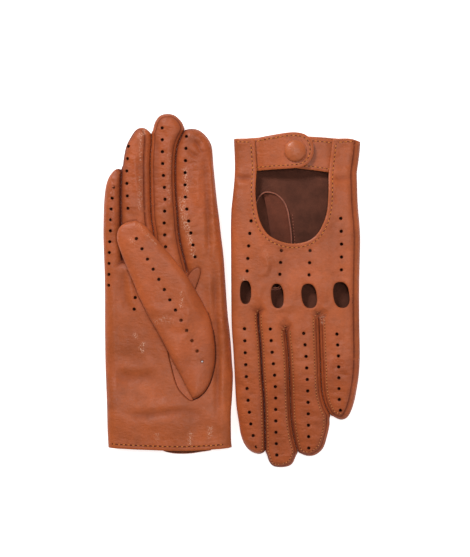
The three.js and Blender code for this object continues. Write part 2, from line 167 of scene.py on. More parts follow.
# The U-shaped cut-out in the back, from the cuff on the little finger's side round to the other.
CUT_OUT = [
    (-24.8, 1.1), (-23.4, 12.2), (-21.9, 25.6), (-21.6, 39.1), (-20.2, 52.6), (-15.1, 64.5), (-8.4, 70.4),
    (1.1, 72.6), (10.2, 71.3), (19.6, 66.2), (25.5, 55.8), (28, 39.1), (27.2, 22.2), (27.6, 15.6),
    (28.6, 1),
]
# Knuckle openings: centre, half width, half length, lean.
KNUCKLES = [
    (34.7, 105.6, 3.8, 8, 0), (13.1, 108.1, 4.3, 8.3, -0.06), (-8.5, 108.1, 5.2, 8.3, -0.1),
    (-30.3, 107.4, 5.5, 8.8, -0.1),
]
# Rows of ventilation holes, as polylines with a count.
BACK_HOLES = [
    ([(30.9, 57.2), (32.6, 73.8), (33.6, 91.2)], 5), ([(10.4, 77.3), (11.4, 93.4)], 3),
    ([(-9.1, 77.3), (-8.4, 93.8)], 3), ([(-29.9, 55.5), (-30.4, 73), (-30.3, 90.4)], 5),
]
FINGER_BACK_HOLES = {
    "left": [
        ([(35.4, 130.4), (34.9, 146.9), (33.6, 172), (31.3, 193.8), (29.5, 203.3), (27.2, 211.2)], 11),
        ([(17.9, 130.6), (16.7, 146.2), (14.5, 168.6), (14, 199.2), (13.3, 216.9)], 12),
        ([(-4.8, 133.5), (-6.4, 149.6), (-7.8, 178.8), (-8.2, 199.2), (-8.5, 212)], 11),
        ([(-27.3, 134), (-28.4, 150.3), (-28.9, 175.4), (-29.9, 186)], 8),
    ],
    "right": [
        ([(26, 130.4), (22, 160), (19, 185), (17, 210)], 11),
        ([(4, 141), (1.8, 170), (0.8, 198), (1.4, 217)], 10),
        ([(-20, 139), (-21.5, 160), (-22, 185), (-20.5, 208)], 9),
        ([(-35.8, 136), (-35.6, 160), (-35.4, 180)], 6),
    ],
}
PALM_HOLES = {
    "right": [
        ([(12.5, 212.2), (11.6, 179), (12.8, 162.3), (15.5, 146.9), (18.5, 129.9)], 11),
        ([(-4, 218), (-3.6, 192.1), (-2.1, 171), (-2.6, 151.5), (-1.7, 136.8)], 11),
        ([(-27.2, 205.6), (-28.2, 188.7), (-28.2, 179.6), (-27.4, 163)], 6),
        ([(-22.4, 102.1), (-23.1, 94.2)], 2),
        ([(-37.3, 177.4), (-38.9, 162.5), (-39.3, 148.1), (-40.2, 133.4), (-40.6, 110.5)], 10),
    ],
    "left": [
        ([(26, 207), (28.4, 180), (30, 150), (30.5, 131)], 10),
        ([(8.4, 214), (9.6, 185), (11, 155), (13.4, 140)], 10),
        ([(-13, 205), (-12, 180), (-10.5, 158)], 6),
        ([(-33.5, 182), (-33.2, 160), (-33.6, 134), (-34.2, 124)], 8),
    ],
}
THUMB_HOLES = {
    "right": [
        (-21.2, 142.2), (-13, 127.1), (-5.5, 113.7), (1.9, 99.9), (9.6, 85.9), (16.6, 72.5), (23.4, 58.6),
    ],
    "left": [
        (-21.2, 142.2), (-12, 127.1), (-3.8, 113.7), (4.4, 99.9), (12.4, 85.9), (19.6, 72.5),
        (26.6, 58.6),
    ],
}

# Distance from the finger's side to its seam: (index side, other side) on the back and on the palm.
SEAMS = {
    ("left", BACK): {"index": (0, 0.9), "middle": (0.8, 1.9), "ring": (1.2, 2.6), "little": (2.1, 4.7)},
    ("left", PALM): {"index": (0, 1.6), "middle": (1.6, 1.6), "ring": (1.6, 1.6), "little": (1.6, 0)},
    ("right", PALM): {"index": (0, 1.0), "middle": (2.4, 2.7), "ring": (4.8, 1.0), "little": (1.0, 0)},
    ("right", BACK): {"index": (0, 1.6), "middle": (1.6, 1.6), "ring": (1.6, 1.6), "little": (1.6, 4.7)},
}

# The thumb lying over the palm, clockwise from its tip, and the hole it is sewn into.
THUMB_LEFT = [
    (-21.6, 154.8), (-29.1, 152.9), (-33.3, 149.4), (-34.7, 144.1), (-34.1, 139), (-30.9, 130),
    (-26.4, 118.9), (-22.4, 109.7), (-19.3, 102), (-12.3, 87.9), (-5.5, 76.1), (0.2, 65.1), (8, 50.4),
    (16.9, 33),
]
THUMB_RIGHT = [
    (16.9, 33), (20.6, 34.4), (25.1, 38.3), (29.1, 45.7), (31.7, 56.6), (32.1, 66.8), (30.8, 78.7),
    (28.3, 88.8), (24.1, 98.1), (19.2, 106.7), (13.1, 116.8), (2.9, 130), (-8.9, 143.5), (-14.6, 150.6),
    (-21.6, 154.8),
]
THUMB_HOLE = [
    (16.9, 32.4), (11.4, 35.5), (6.3, 42.3), (2.4, 55.8), (0.4, 65.1), (0.8, 74.7), (2.6, 85.6),
    (5.9, 95.5), (10, 101.5), (15.5, 103.2), (20.6, 99.5), (25.9, 89), (28.6, 79), (29.9, 67), (29.4, 57),
    (27, 47), (22.8, 39),
]
THUMB_HOLE_LEFT = [
    (21.6, 38.2), (16.2, 38.6), (11.6, 41.4), (7.6, 47), (5.6, 55), (3.8, 70.7), (4.6, 85), (6.8, 95),
    (10, 101.5), (15.5, 103.2), (20.6, 99.5), (25.9, 89), (28.4, 79), (29.6, 67), (29.2, 57), (28, 49),
    (25.6, 42),
]
# The far edge of the thumb's inside wall.
GUSSET_TOP = {
    "right": [(17.6, 33.5), (20.4, 38), (21, 47), (21.2, 56), (21.4, 64), (20.4, 72), (17, 84), (13, 95)],
    "left": [(22, 38.5), (21.4, 42), (20.2, 47), (18.6, 56), (17.2, 66), (14.5, 80), (12.4, 94)],
}
QUIRK = [
    (17.6, 106.4), (20.6, 113.4), (22.3, 119.5), (21.6, 122.4), (19, 122.2), (15.6, 119.6), (12.4, 113.6),
    (14, 108),
]

# Snap strap.
TAB = [
    (29.5, 0.9), (15, -1.7), (3, -3.2), (-4.6, -2.2), (-9, 0.9), (-11.1, 4.8), (-11.5, 9.2),
    (-10.7, 13.5), (-8.2, 17.4), (-3.6, 20.4), (2.5, 21.3), (15, 22), (29.5, 23),
]
UNDER_TAB = [
    (-26.5, 24.6), (-12, 22.4), (0, 21), (6, 18.4), (9, 13), (9.3, 8), (6.4, 2.6), (0, -0.2), (-12, 0.2),
    (-26.5, 1.6),
]
SNAP_X, SNAP_Y = 0.9, 9.5
TAB_ROOT, TAB_RISE = 26.2, 2.6
# The snap's hidden parts, each a ring of radius and depth below the closing tab's face.
SOCKET = [
    (1.3, 1.55), (4.7, 1.55), (5, 1.7), (5, 2.9), (4.8, 3.05), (2.5, 3.05), (2.5, 1.95), (1.3, 1.95),
]
STUD = [
    (0, 2.1), (1.6, 2.1), (1.9, 2.3), (2, 2.5), (2, 2.9), (1.7, 3.2), (4.2, 3.2), (4.4, 3.35),
    (4.4, 3.75), (1.35, 3.75), (1.35, 2.6), (0, 2.6),
]
EYELET = [(0, 2.8), (1.1, 2.8), (1.1, 5.45), (4.0, 5.45), (4.2, 5.6), (4.1, 5.9), (0, 5.9)]
TAB_PLIES = 1.4


# ---------- small tools ----------
def smooth(t):
    t = np.clip(t, 0, 1)
    return t * t * (3 - 2 * t)


def bell(distance, width):
    return np.exp(-((distance / width) ** 2))


def fade(distance, width):
    """1 at a distance of 0, easing to 0 at the width."""
    return 1 - smooth(distance / width)


def circle(count):
    turn = np.linspace(0, 2 * math.pi, count, endpoint=False)
    return np.column_stack([np.cos(turn), np.sin(turn)])


def lengths(line):
    """How far along a polyline each of its points is."""
    return np.concatenate([[0], np.cumsum(np.linalg.norm(np.diff(line, axis=0), axis=1))])


def points_at(line, at):
    """The points of a polyline at the given lengths along it."""
    length = lengths(line)
    return np.column_stack([np.interp(at, length, line[:, k]) for k in range(2)])


def winding(loop):
    """Above 0 for a loop that runs counterclockwise."""
    return np.cross(loop, np.roll(loop, -1, axis=0)).sum()


def along(points, step, closed=False):
    """Points a step apart on a smooth curve through the given ones."""
    p = np.array(points, float)
    if closed:
        p = np.vstack([p[-1], p, p[0], p[1]])
    else:
        p = np.vstack([2 * p[0] - p[1], p, 2 * p[-1] - p[-2]])
    fine = []
    for a, b, c, d in zip(p, p[1:], p[2:], p[3:]):
        t = np.linspace(0, 1, 24, endpoint=False)[:, None]
        fine.append(0.5 * (2 * b + (c - a) * t + (2 * a - 5 * b + 4 * c - d) * t**2
                           + (3 * b - a - 3 * c + d) * t**3))
    fine = np.vstack(fine + [p[-2:-1]])
    total = lengths(fine)[-1]
    out = points_at(fine, np.linspace(0, total, max(2, round(total / step)) + 1))
    return out[:-1] if closed else out


def spaced(points, count):
    """A number of points evenly spaced on a smooth curve through the given ones."""
    line = along(points, 0.5)
    return points_at(line, np.linspace(0, lengths(line)[-1], count))


def nearest(points, line):
    """Distance to a polyline, the nearest point on it, and the number and share of its segment."""
    points = np.asarray(points, float)
    ax, ay = line[:-1].T
    ux, uy = (line[1:] - line[:-1]).T
    size = ux * ux + uy * uy + 1e-12
    found = []
    for chunk in np.array_split(points, max(1, len(points) * len(ax) // 1_000_000)):
        dx = chunk[:, :1] - ax
        dy = chunk[:, 1:2] - ay
        t = np.clip((dx * ux + dy * uy) / size, 0, 1)
        dx -= t * ux
        dy -= t * uy
        square = dx * dx + dy * dy
        k = square.argmin(1)
        row = np.arange(len(chunk))
        share = t[row, k]
        q = np.column_stack([ax[k] + share * ux[k], ay[k] + share * uy[k]])
        found.append((np.sqrt(square[row, k]), q, k, share))
    return tuple(np.concatenate(group) for group in zip(*found))


def tree(verts, tris):
    return BVHTree.FromPolygons(verts.tolist(), tris.tolist())


def rim_distance(points, loop):
    return nearest(points, np.vstack([loop, loop[:1]]))[0]


def inside(points, loop):
    x, y = points[:, 0], points[:, 1]
    hit = np.zeros(len(points), bool)
    for (ax, ay), (bx, by) in zip(loop, np.roll(loop, -1, axis=0)):
        if ay != by:
            cross = (ay > y) != (by > y)
            hit ^= cross & (x < (bx - ax) * (y - ay) / (by - ay) + ax)
    return hit


def field(points, scale_x, scale_y, seed, octaves=1):
    """Smooth noise over the plan, about -1 to 1."""
    total = np.zeros(len(points))
    gain = 1.0
    for octave in range(octaves):
        f = 2.0**octave
        heights = [noise.noise((x / scale_x * f, y / scale_y * f, seed + octave)) for x, y in points]
        total += gain * np.array(heights)
        gain *= 0.5
    return total


def ridges(points, folds):
    """Sculpted folds: each is a polyline, a half width and a height."""
    total = np.zeros(len(points))
    for line, width, height in folds:
        path = along(line, 2.0)
        d, _, k, t = nearest(points, path)
        share = (k + t) / (len(path) - 1)
        ends = smooth(share / 0.3) * smooth((1 - share) / 0.3)
        total += 1.5 * height * ends * bell(d, width)
    return total


def place(side, points):
    """From a glove's own millimetres to the frame's metres."""
    p = np.asarray(points, float)
    if side == "right":
        return (p + [RIGHT_CUFF[0], RIGHT_CUFF[1], 0]) * MM
    return (np.array([LEFT_CUFF[0], LEFT_CUFF[1], DEPTH]) - p) * MM


def drape(side, y):
    """The height in DRAPE at y, eased over its corners."""
    rows = DRAPE[side]
    ys = [r[0] for r in rows]
    zs = [r[1] for r in rows]
    return sum(np.interp(np.asarray(y) + s, ys, zs) for s in (-5, -2.5, 0, 2.5, 5)) / 5


def put(name, data):
    """An object of its own for a mesh, a light or a camera."""
    obj = bpy.data.objects.new(name, data)
    bpy.context.collection.objects.link(obj)
    return obj


def mesh_object(name, verts, faces, materials, indices=None, normals=None):
    mesh = bpy.data.meshes.new(name)
    mesh.from_pydata(np.asarray(verts).tolist(), [], [list(map(int, f)) for f in faces])
    for material in materials:
        mesh.materials.append(material)
    if indices is not None:
        mesh.polygons.foreach_set("material_index", np.asarray(indices, np.int32))
    mesh.polygons.foreach_set("use_smooth", np.ones(len(mesh.polygons), bool))
    mesh.update()
    if normals is not None:
        mesh.normals_split_custom_set(normals.tolist())
    return put(name, mesh)


def vertex_normals(verts, tris):
    a, b, c = (verts[tris[:, k]] for k in range(3))
    flat = np.cross(b - a, c - a)
    out = np.zeros_like(verts)
    for k in range(3):
        np.add.at(out, tris[:, k], flat)
    return out / np.maximum(np.linalg.norm(out, axis=1), 1e-12)[:, None]


def triangulate(points, loops, lines=()):
    """Triangles over free points, loops and open lines; what is past the first loop or in another goes."""
    edges = [(a, b) for loop in loops for a, b in zip(loop, np.roll(loop, -1))]
    edges += [(a, b) for line in lines for a, b in zip(line, line[1:])]
    edges = [tuple(map(int, edge)) for edge in edges]
    verts, _, faces, origin, _, _ = delaunay_2d_cdt([Vector(p) for p in points], edges, [], 0, 1e-5)
    place_of = {i: k for k, group in enumerate(origin) for i in group}
    verts = np.array([tuple(v) for v in verts])
    tris = np.array([f for f in faces if len(f) == 3])
    centre = verts[tris].mean(1)
    keep = inside(centre, points[loops[0]])
    for loop in loops[1:]:
        keep &= ~inside(centre, points[loop])
    tris = tris[keep]
    a, b, c = (verts[tris[:, k]] for k in range(3))
    area = np.cross(b - a, c - a)
    tris[area < 0] = tris[area < 0][:, ::-1]
    return verts, tris[np.abs(area) > 1e-7], place_of


class Patch:
    """Free points, loops and lines on the way to one triangulated sheet."""

    def __init__(self):
        self.points = []
        self.loops = []
        self.lines = []
        self.count = 0

    def add(self, points):
        start = self.count
        self.points.append(np.asarray(points, float))
        self.count += len(points)
        return np.arange(start, self.count)

    def loop(self, points):
        self.loops.append(self.add(points))

    def all(self):
        return np.vstack(self.points)


def offset(line, distance, closed=False):
    """The line moved to its left."""
    if closed:
        tangent = np.roll(line, -1, axis=0) - np.roll(line, 1, axis=0)
    else:
        tangent = np.gradient(line, axis=0)
    normal = np.column_stack([-tangent[:, 1], tangent[:, 0]])
    normal /= np.maximum(np.linalg.norm(normal, axis=1), 1e-9)[:, None]
    return line + normal * distance


def grid_points(low, high, step):
    xs = np.arange(low[0], high[0], step)
    ys = np.arange(low[1], high[1], step * 0.866)
    gx, gy = np.meshgrid(xs, ys)
    gx = gx + (np.arange(len(ys)) % 2 * step / 2)[:, None]
    return np.column_stack([gx.ravel(), gy.ravel()])


def thin(points, others, gap):
    """The points that stay at least a gap away from the others."""
    if not len(others) or not len(points):
        return points
    taken = KDTree(len(others))
    for i, p in enumerate(others):
        taken.insert((p[0], p[1], 0), i)
    taken.balance()
    keep = [taken.find((p[0], p[1], 0))[2] > gap for p in points]
    return points[np.array(keep)]


def shell_object(name, side, outer, inner, normals, tris, materials, edge_index=0):
    """A closed skin from the outer triangles, their inner copies and walls round every open edge."""
    used = np.unique(tris)
    back = np.full(len(outer), -1)
    back[used] = np.arange(len(used))
    t = back[tris]
    n = len(used)
    edges = np.vstack([t[:, [0, 1]], t[:, [1, 2]], t[:, [2, 0]]])
    key = {}
    for a, b in edges.tolist():
        key[(a, b)] = key.get((a, b), 0) + 1
    open_edges = [(a, b) for a, b in key if (b, a) not in key]
    walls = [(b, a, a + n, b + n) for a, b in open_edges]
    verts = np.vstack([outer[used], inner[used]])
    faces = [tuple(f) for f in t.tolist()] + [tuple(f) for f in (t[:, ::-1] + n).tolist()] + walls
    indices = [0] * len(t) + [1] * len(t) + [edge_index] * len(walls)
    flip = side == "left"
    world = place(side, verts)
    out_n = normals[used] * (-1 if flip else 1)
    loop_normals = []
    if flip:
        faces = [f[::-1] for f in faces]
    for number, face in enumerate(faces):
        if number < len(t):
            loop_normals.append(out_n[list(face)])
        elif number < 2 * len(t):
            loop_normals.append(-out_n[[v - n for v in face]])
        else:
            p = world[list(face)]
            flat = np.cross(p[1] - p[0], p[2] - p[0])
            if np.linalg.norm(flat) < 1e-16:
                flat = np.cross(p[2] - p[0], p[3] - p[0])
            flat = flat / max(np.linalg.norm(flat), 1e-16)
            loop_normals.append(np.tile(flat, (len(face), 1)))
    return mesh_object(name, world, faces, materials, indices, np.vstack(loop_normals))


# ---------- materials ----------
def srgb(r, g, b):
    def linear(v):
        v /= 255
        return v / 12.92 if v <= 0.04045 else ((v + 0.055) / 1.055) ** 2.4

    return (linear(r), linear(g), linear(b), 1.0)


MASKS = "tone"  # the point attribute that paint() writes
MIX_SHARE, MIX_A, MIX_B, MIX_RESULT = 0, 6, 7, 2  # the colour sockets of a mix node


def shade(base, *gains):
    """The base colour times one gain, or a gain for each channel."""
    gains = gains * (3 if len(gains) == 1 else 1)
    return tuple(float(min(1, v * gain)) for v, gain in zip(base, gains)) + (1.0,)


class Nodes:
    """A short way to write a node tree."""

    def __init__(self, name):
        self.material = bpy.data.materials.new(name)
        self.material.use_nodes = True
        self.tree = self.material.node_tree
        self.tree.nodes.clear()
        self.out = self.tree.nodes.new("ShaderNodeOutputMaterial")
        self.shader = self.tree.nodes.new("ShaderNodeBsdfPrincipled")
        self.link(self.shader, "BSDF", self.out, "Surface")
        self.where = self.tree.nodes.new("ShaderNodeTexCoord")

    def link(self, a, a_socket, b, b_socket):
        self.tree.links.new(a.outputs[a_socket], b.inputs[b_socket])

    def set(self, node=None, **values):
        """Sets sockets of a node, or of the shader; a socket's name has an underscore for each space."""
        for name, value in values.items():
            (node or self.shader).inputs[name.replace("_", " ")].default_value = value

    def node(self, kind, **values):
        node = self.tree.nodes.new("ShaderNode" + kind)
        self.set(node, **values)
        return node

    def stretched(self, node, stretch):
        mapping = self.node("Mapping", Scale=stretch)
        self.link(self.where, "Object", mapping, "Vector")
        self.link(mapping, "Vector", node, "Vector")
        return node

    def noise(self, scale, detail=3.0, rough=0.55, stretch=(1, 1, 1)):
        return self.stretched(self.node("TexNoise", Scale=scale, Detail=detail, Roughness=rough), stretch)

    def cells(self, scale, feature="F1", stretch=(1, 1, 1)):
        node = self.node("TexVoronoi", Scale=scale)
        node.feature = feature
        return self.stretched(node, stretch)

    def ramp(self, source, socket, low, high, from_value=0.0, to_value=1.0):
        node = self.node("MapRange", From_Min=low, From_Max=high, To_Min=from_value, To_Max=to_value)
        self.link(source, socket, node, "Value")
        return node

    def mix(self, share, a, b):
        """b over a; each is a colour or a (node, socket) pair, and the share is a (node, socket) pair."""
        node = self.node("Mix")
        node.data_type = "RGBA"
        for slot, value in ((MIX_SHARE, share), (MIX_A, a), (MIX_B, b)):
            if isinstance(value[0], float):
                node.inputs[slot].default_value = value
            else:
                self.link(value[0], value[1], node, slot)
        return node, MIX_RESULT

    def over(self, source, socket, low, high, a, b, most=1.0):
        """Mixes b over a as the source rises from low to high."""
        return self.mix((self.ramp(source, socket, low, high, 0, most), "Result"), a, b)

    def math(self, operation, *pairs):
        node = self.node("Math")
        node.operation = operation
        for slot, (source, socket) in pairs:
            self.link(source, socket, node, slot)
        return node

    def bump(self, source, socket, strength, distance, before=None):
        node = self.node("Bump", Strength=strength, Distance=distance)
        self.link(source, socket, node, "Height")
        if before is not None:
            self.link(before, "Normal", node, "Normal")
        return node

    def colour(self, pair):
        self.link(*pair, self.shader, "Base Color")

    def masks(self):
        """The painted masks: red is painted shade in seams, creases, hollows and at rims and openings, green
        lighter edges and ridges, painted highlight with some edge wear, and blue painted glints.
        """
        node = self.node("Attribute")
        node.attribute_name = MASKS
        split = self.node("SeparateColor")
        self.link(node, "Color", split, "Color")
        return split


def leather(name, base, roughness=0.47, crease=1.0):
    n = Nodes(name)
    n.set(Metallic=0.0, IOR=1.48, Specular_IOR_Level=0.33, Sheen_Weight=0.03, Sheen_Roughness=0.5,
          Coat_Weight=0.05, Coat_Roughness=0.3)
    dark = shade(base, 0.74)
    fleck = n.noise(330, 4, 0.6, (1, 0.85, 1))
    grain = n.cells(1500)
    masks = n.masks()
    skin = n.over(n.noise(42, 5, 0.65), "Fac", 0.32, 0.68, dark, shade(base, 1.18))
    warm = shade(base, 1.05, 0.93, 0.84)
    skin = n.over(n.noise(95, 3, 0.6, (1, 0.6, 1)), "Fac", 0.45, 0.75, skin, warm, 0.45)
    skin = n.over(fleck, "Fac", 0.52, 0.78, skin, dark, 0.5)
    skin = n.over(grain, "Distance", 0.25, 0.75, skin, dark, 0.2)
    # painted shade: seams, creases, hollows, rims and hole edges darken towards a deep brown
    skin = n.over(masks, "Red", 0, 1, skin, shade(base, 0.26, 0.15, 0.12), 0.92)
    # painted highlight on edges and fold ridges, with some edge wear on hems and straps
    skin = n.over(masks, "Green", 0, 1, skin, shade(base, 1.35, 1.45, 1.3), 0.6)
    # painted glints: pale specks where the blue mask is, standing in for specular highlights on the grain
    specks = n.ramp(n.noise(1300, 2, 0.6, (1, 0.8, 1)), "Fac", 0.5, 0.6)
    glints_here = n.math("MULTIPLY", (0, (specks, "Result")), (1, (masks, "Blue")))
    n.colour(n.mix((glints_here, "Value"), skin, srgb(240, 196, 168)))
    polish = n.ramp(n.noise(160, 3, 0.6), "Fac", 0.3, 0.7, roughness - 0.08, roughness + 0.1)
    dull = n.math("MULTIPLY_ADD", (0, (masks, "Red")), (2, (polish, "Result")))
    dull.inputs[1].default_value = 0.5
    n.link(dull, "Value", n.shader, "Roughness")
    relief = n.bump(n.noise(240, 4, 0.6, (1, 1.7, 1)), "Fac", 0.4 * crease, 0.0009)
    relief = n.bump(n.cells(420, "SMOOTH_F1", (1, 1.7, 1)), "Distance", 0.2 * crease, 0.0007, relief)
    n.link(n.bump(grain, "Distance", 0.22, 0.00028, relief), "Normal", n.shader, "Normal")
    return n.material


def suede(name, base):
    n = Nodes(name)
    n.set(Metallic=0.0, Sheen_Weight=0.12, Sheen_Roughness=0.6, Specular_IOR_Level=0.08, Roughness=0.92)
    dark = shade(base, 0.6)
    fibre = n.noise(2400, 3, 0.7)
    nap = n.over(n.noise(55, 5, 0.65), "Fac", 0.34, 0.66, dark, shade(base, 1.3))
    n.colour(n.over(fibre, "Fac", 0.35, 0.65, nap, dark, 0.45))
    relief = n.bump(n.noise(350, 4, 0.7), "Fac", 0.35, 0.0007)
    n.link(n.bump(fibre, "Fac", 0.4, 0.00025, relief), "Normal", n.shader, "Normal")
    return n.material


def thread(name, base):
    n = Nodes(name)
    n.set(Metallic=0.0, Roughness=0.7, Specular_IOR_Level=0.2)
    twist = n.noise(1800, 2, 0.5)
    n.colour(n.over(twist, "Fac", 0.35, 0.65, base, shade(base, 0.62)))
    n.link(n.bump(twist, "Fac", 0.5, 0.0002), "Normal", n.shader, "Normal")
    return n.material


def metal(name, base):
    n = Nodes(name)
    n.set(Metallic=1.0, Specular_IOR_Level=0.5)
    brushed = n.noise(900, 3, 0.6, (1, 1, 6))
    n.colour(n.over(brushed, "Fac", 0.3, 0.7, base, shade(base, 0.7)))
    n.link(n.ramp(brushed, "Fac", 0.3, 0.7, 0.2, 0.36), "Result", n.shader, "Roughness")
    n.link(n.bump(brushed, "Fac", 0.12, 0.0001), "Normal", n.shader, "Normal")
    return n.material


TAN = leather("nappa", srgb(175, 86, 42))
TAN_PALM = leather("nappa_palm", srgb(171, 83, 37))
TAN_THUMB = leather("nappa_thumb", srgb(176, 86, 42), 0.44)
TAN_FINGER = leather("nappa_finger", srgb(170, 81, 37), 0.42, 1.3)
TAN_WALL = leather("nappa_fourchette", srgb(166, 79, 37), 0.5)
TAN_BUTTON = leather("nappa_button", srgb(180, 93, 50), 0.36, 0.7)
SUEDE = suede("suede_inside", srgb(94, 52, 38))
LINING = suede("strap_lining", srgb(146, 82, 54))
SEAM = suede("suede_thumb", srgb(104, 54, 38))
EDGE = suede("suede_edge", srgb(156, 92, 72))
THREAD = thread("thread", srgb(222, 134, 62))
FINE = thread("thread_fine", srgb(216, 140, 84))
# a dark disc at each stitch end: painted shade standing in for the needle hole
NEEDLE_SHADE = thread("needle_hole_shade", srgb(92, 34, 14))
DARK = thread("thread_dark", srgb(104, 42, 20))
BRASS = metal("snap_brass", srgb(196, 164, 104))


# ---------- the hand: back, palm and fingers in one skin ----------
# Sculpted folds and creases: each is a polyline, a half width and a height.
FOLDS = {
    ("left", BACK): [
        ([(43, 26.5), (36, 28), (29, 27.2)], 1.6, -0.9), ([(43, 31.5), (35, 32.5), (30, 32)], 1.8, 0.45),
        ([(-24, 27), (-31, 28.5), (-39, 27)], 1.8, -0.7),
        ([(-24, 22), (-31, 22.6), (-39, 21.5)], 1.8, 0.4),
        ([(25, 79), (19.4, 84), (20.2, 91), (26.5, 95.5)], 1.9, 0.75),
        ([(22.5, 80), (17, 86), (19, 95)], 1.7, -0.5), ([(40, 60), (41.5, 78), (40.6, 96)], 2.6, 0.4),
        ([(24, 112), (25.4, 118), (25.6, 124)], 1.3, -0.8), ([(7.5, 122), (8, 128), (7, 134)], 1.3, -0.7),
        ([(-15, 113), (-15.4, 119), (-15.6, 125)], 1.3, -0.7),
        ([(0, 112), (8, 116), (16, 113)], 2.6, 0.4), ([(-24, 114), (-16, 117), (-8, 113)], 2.6, 0.35),
        ([(22, 99), (26, 106), (24.5, 113)], 2.0, 0.55),
        ([(-19, 99), (-19.4, 108), (-18, 114)], 2.2, 0.4), ([(1.5, 99), (2, 107), (4, 113)], 2.2, 0.4),
    ],
    ("right", PALM): [
        ([(-39, 49.5), (-24, 47), (-4, 48.5)], 3.4, -0.55), ([(-38, 56), (-22, 54), (-6, 56)], 3.6, 0.5),
        ([(-36, 24), (-14, 22), (10, 24.5), (30, 21)], 2.8, -0.7),
        ([(-36, 31), (-10, 29), (14, 30)], 3.2, 0.45),
        ([(36, 146), (36, 100), (37.6, 60), (37, 6)], 2.0, 0.8),
        ([(32, 140), (32.4, 100), (34, 60), (33.4, 8)], 1.9, -0.95),
        ([(-38.5, 128), (-37.6, 90), (-37, 50), (-36.4, 6)], 2.2, 0.5),
        ([(-31, 124), (-30, 104), (-25, 88)], 2.2, -0.5),
        ([(-27.4, 122), (-25, 104), (-20, 90)], 2.0, 0.45),
        ([(27, 120), (29.6, 100), (30.4, 84)], 2.2, 0.4), ([(34, 91), (38, 87.4), (42, 87)], 1.4, -0.5),
        ([(13, 204), (17, 199.6), (23, 197.4)], 1.1, -0.9),
        ([(17, 211), (20.6, 206), (24, 199)], 1.1, -1.0), ([(19, 212), (23, 207), (26, 200)], 1.3, 0.7),
        ([(22, 196), (20.4, 180), (21, 160)], 1.8, 0.4),
        ([(24.6, 208), (26.6, 182), (27.6, 150), (28.6, 122)], 1.8, -0.95),
        ([(28.4, 204), (30, 178), (31, 148), (32, 118)], 1.9, 0.8),
        ([(-5.6, 216), (-1, 219.6), (5, 218)], 1.6, 0.4),
        ([(-8.6, 214), (-7, 200), (-7.6, 178)], 1.3, -0.6),
        ([(2.4, 212), (1.6, 196), (1.4, 176)], 1.2, 0.35),
        ([(-23.4, 206), (-22.6, 190), (-21, 168)], 1.3, 0.45),
        ([(-19.2, 208), (-18.6, 188), (-17, 162)], 1.2, -0.4),
        ([(-30, 160.5), (-24, 158.4), (-17, 158)], 1.5, -0.5),
        ([(-38, 172), (-36, 165), (-34, 161)], 1.4, -0.4),
        ([(2.4, 160), (0.6, 150), (-3, 140)], 1.2, -0.35),
    ],
    ("left", PALM): [
        ([(-39, 40), (-20, 36), (-4, 40)], 3.0, -0.4), ([(36, 120), (37, 80), (36, 30)], 2.0, 0.4),
    ],
    ("right", BACK): [
        ([(43, 27), (36, 28), (29, 27)], 1.6, -0.4), ([(-24, 27), (-31, 28), (-39, 27)], 1.8, -0.4),
    ],
}
# Painted glints, pale specks that stand in for specular highlights: each is a polyline, a half width and a
# strength.
GLINTS = {
    ("right", PALM): [
        ([(11.6, 190), (12.8, 176), (10.6, 164), (13.6, 150), (16.6, 136), (17.6, 131)], 1.2, 0.5),
        ([(8.2, 170), (9.6, 160), (11, 150)], 1.3, 0.45),
        ([(-18.9, 214), (-18.7, 196), (-19.2, 176), (-19.6, 162)], 0.7, 0.45),
        ([(-16.2, 216), (-19, 212)], 1.4, 0.5), ([(-16.5, 70.5), (-18.6, 68.2), (-17, 65.5)], 1.0, 0.8),
        ([(-7.4, 9), (-7, 6)], 1.2, 0.5), ([(15.6, 10), (15, 3)], 1.2, 0.5),
        ([(29, 14), (28.4, 8)], 1.3, 0.5), ([(1.6, 200), (1.2, 180), (1.6, 168)], 0.7, 0.5),
        ([(-22.4, 77), (-22, 75)], 1.0, 0.5),
    ],
    ("left", BACK): [
        ([(-16, 120), (-17.6, 126)], 1.0, 0.5), ([(34, 98), (38, 96)], 1.2, 0.3),
        ([(22, 77), (18, 84)], 1.0, 0.15),
    ],
}
# Painted glints on the thumb, in the same form.
THUMB_GLINTS = [
    ([(9.2, 106), (9.8, 101), (8.8, 96)], 0.9, 0.5), ([(-25.6, 143), (-23.4, 139)], 0.8, 0.5),
    ([(-8, 86), (-2, 88), (2, 86)], 2.0, 0.25), ([(-20, 152), (-8, 139)], 0.8, 0.3),
]


# The strength of the painted glints at each point.
def painted_glints(points, marks):
    total = np.zeros(len(points))
    for line, width, strength in marks:
        d = nearest(points, along(line, 1.0))[0]
        total = np.maximum(total, strength * bell(d, width))
    return total


def close_gaps(runs):
    """Brings neighbouring fingers together until they all but touch."""
    out = []
    for number, points in enumerate(runs):
        moved = points.copy()
        for other in neighbours(number):
            d, q, _, _ = nearest(points, runs[other])
            share = smooth((NEAR_FINGERS - d) / 1.4) * np.clip(0.5 - FINGER_GAP / np.maximum(d, 1e-6), 0, 0.5)
            moved += (q - points) * share[:, None]
        out.append(moved)
    return out


def hole_edge(gap):
    """How far the leather sinks at the edge of a ventilation hole, and the painted shade there."""
    return 0.18 * bell(gap - HOLE, 0.4), 0.35 * bell(gap - HOLE, 0.3)


def neighbours(number):
    """The fingers on each side of a finger."""
    return [other for other in (number - 1, number + 1) if 0 <= other < len(FINGERS)]


def flat_distance(distance):
    """From a distance to the side in the plan to the same in the flat pattern."""
    return ROUND / (math.pi / 2) * np.arccos(np.clip(1 - distance / ROUND, 0, 1))


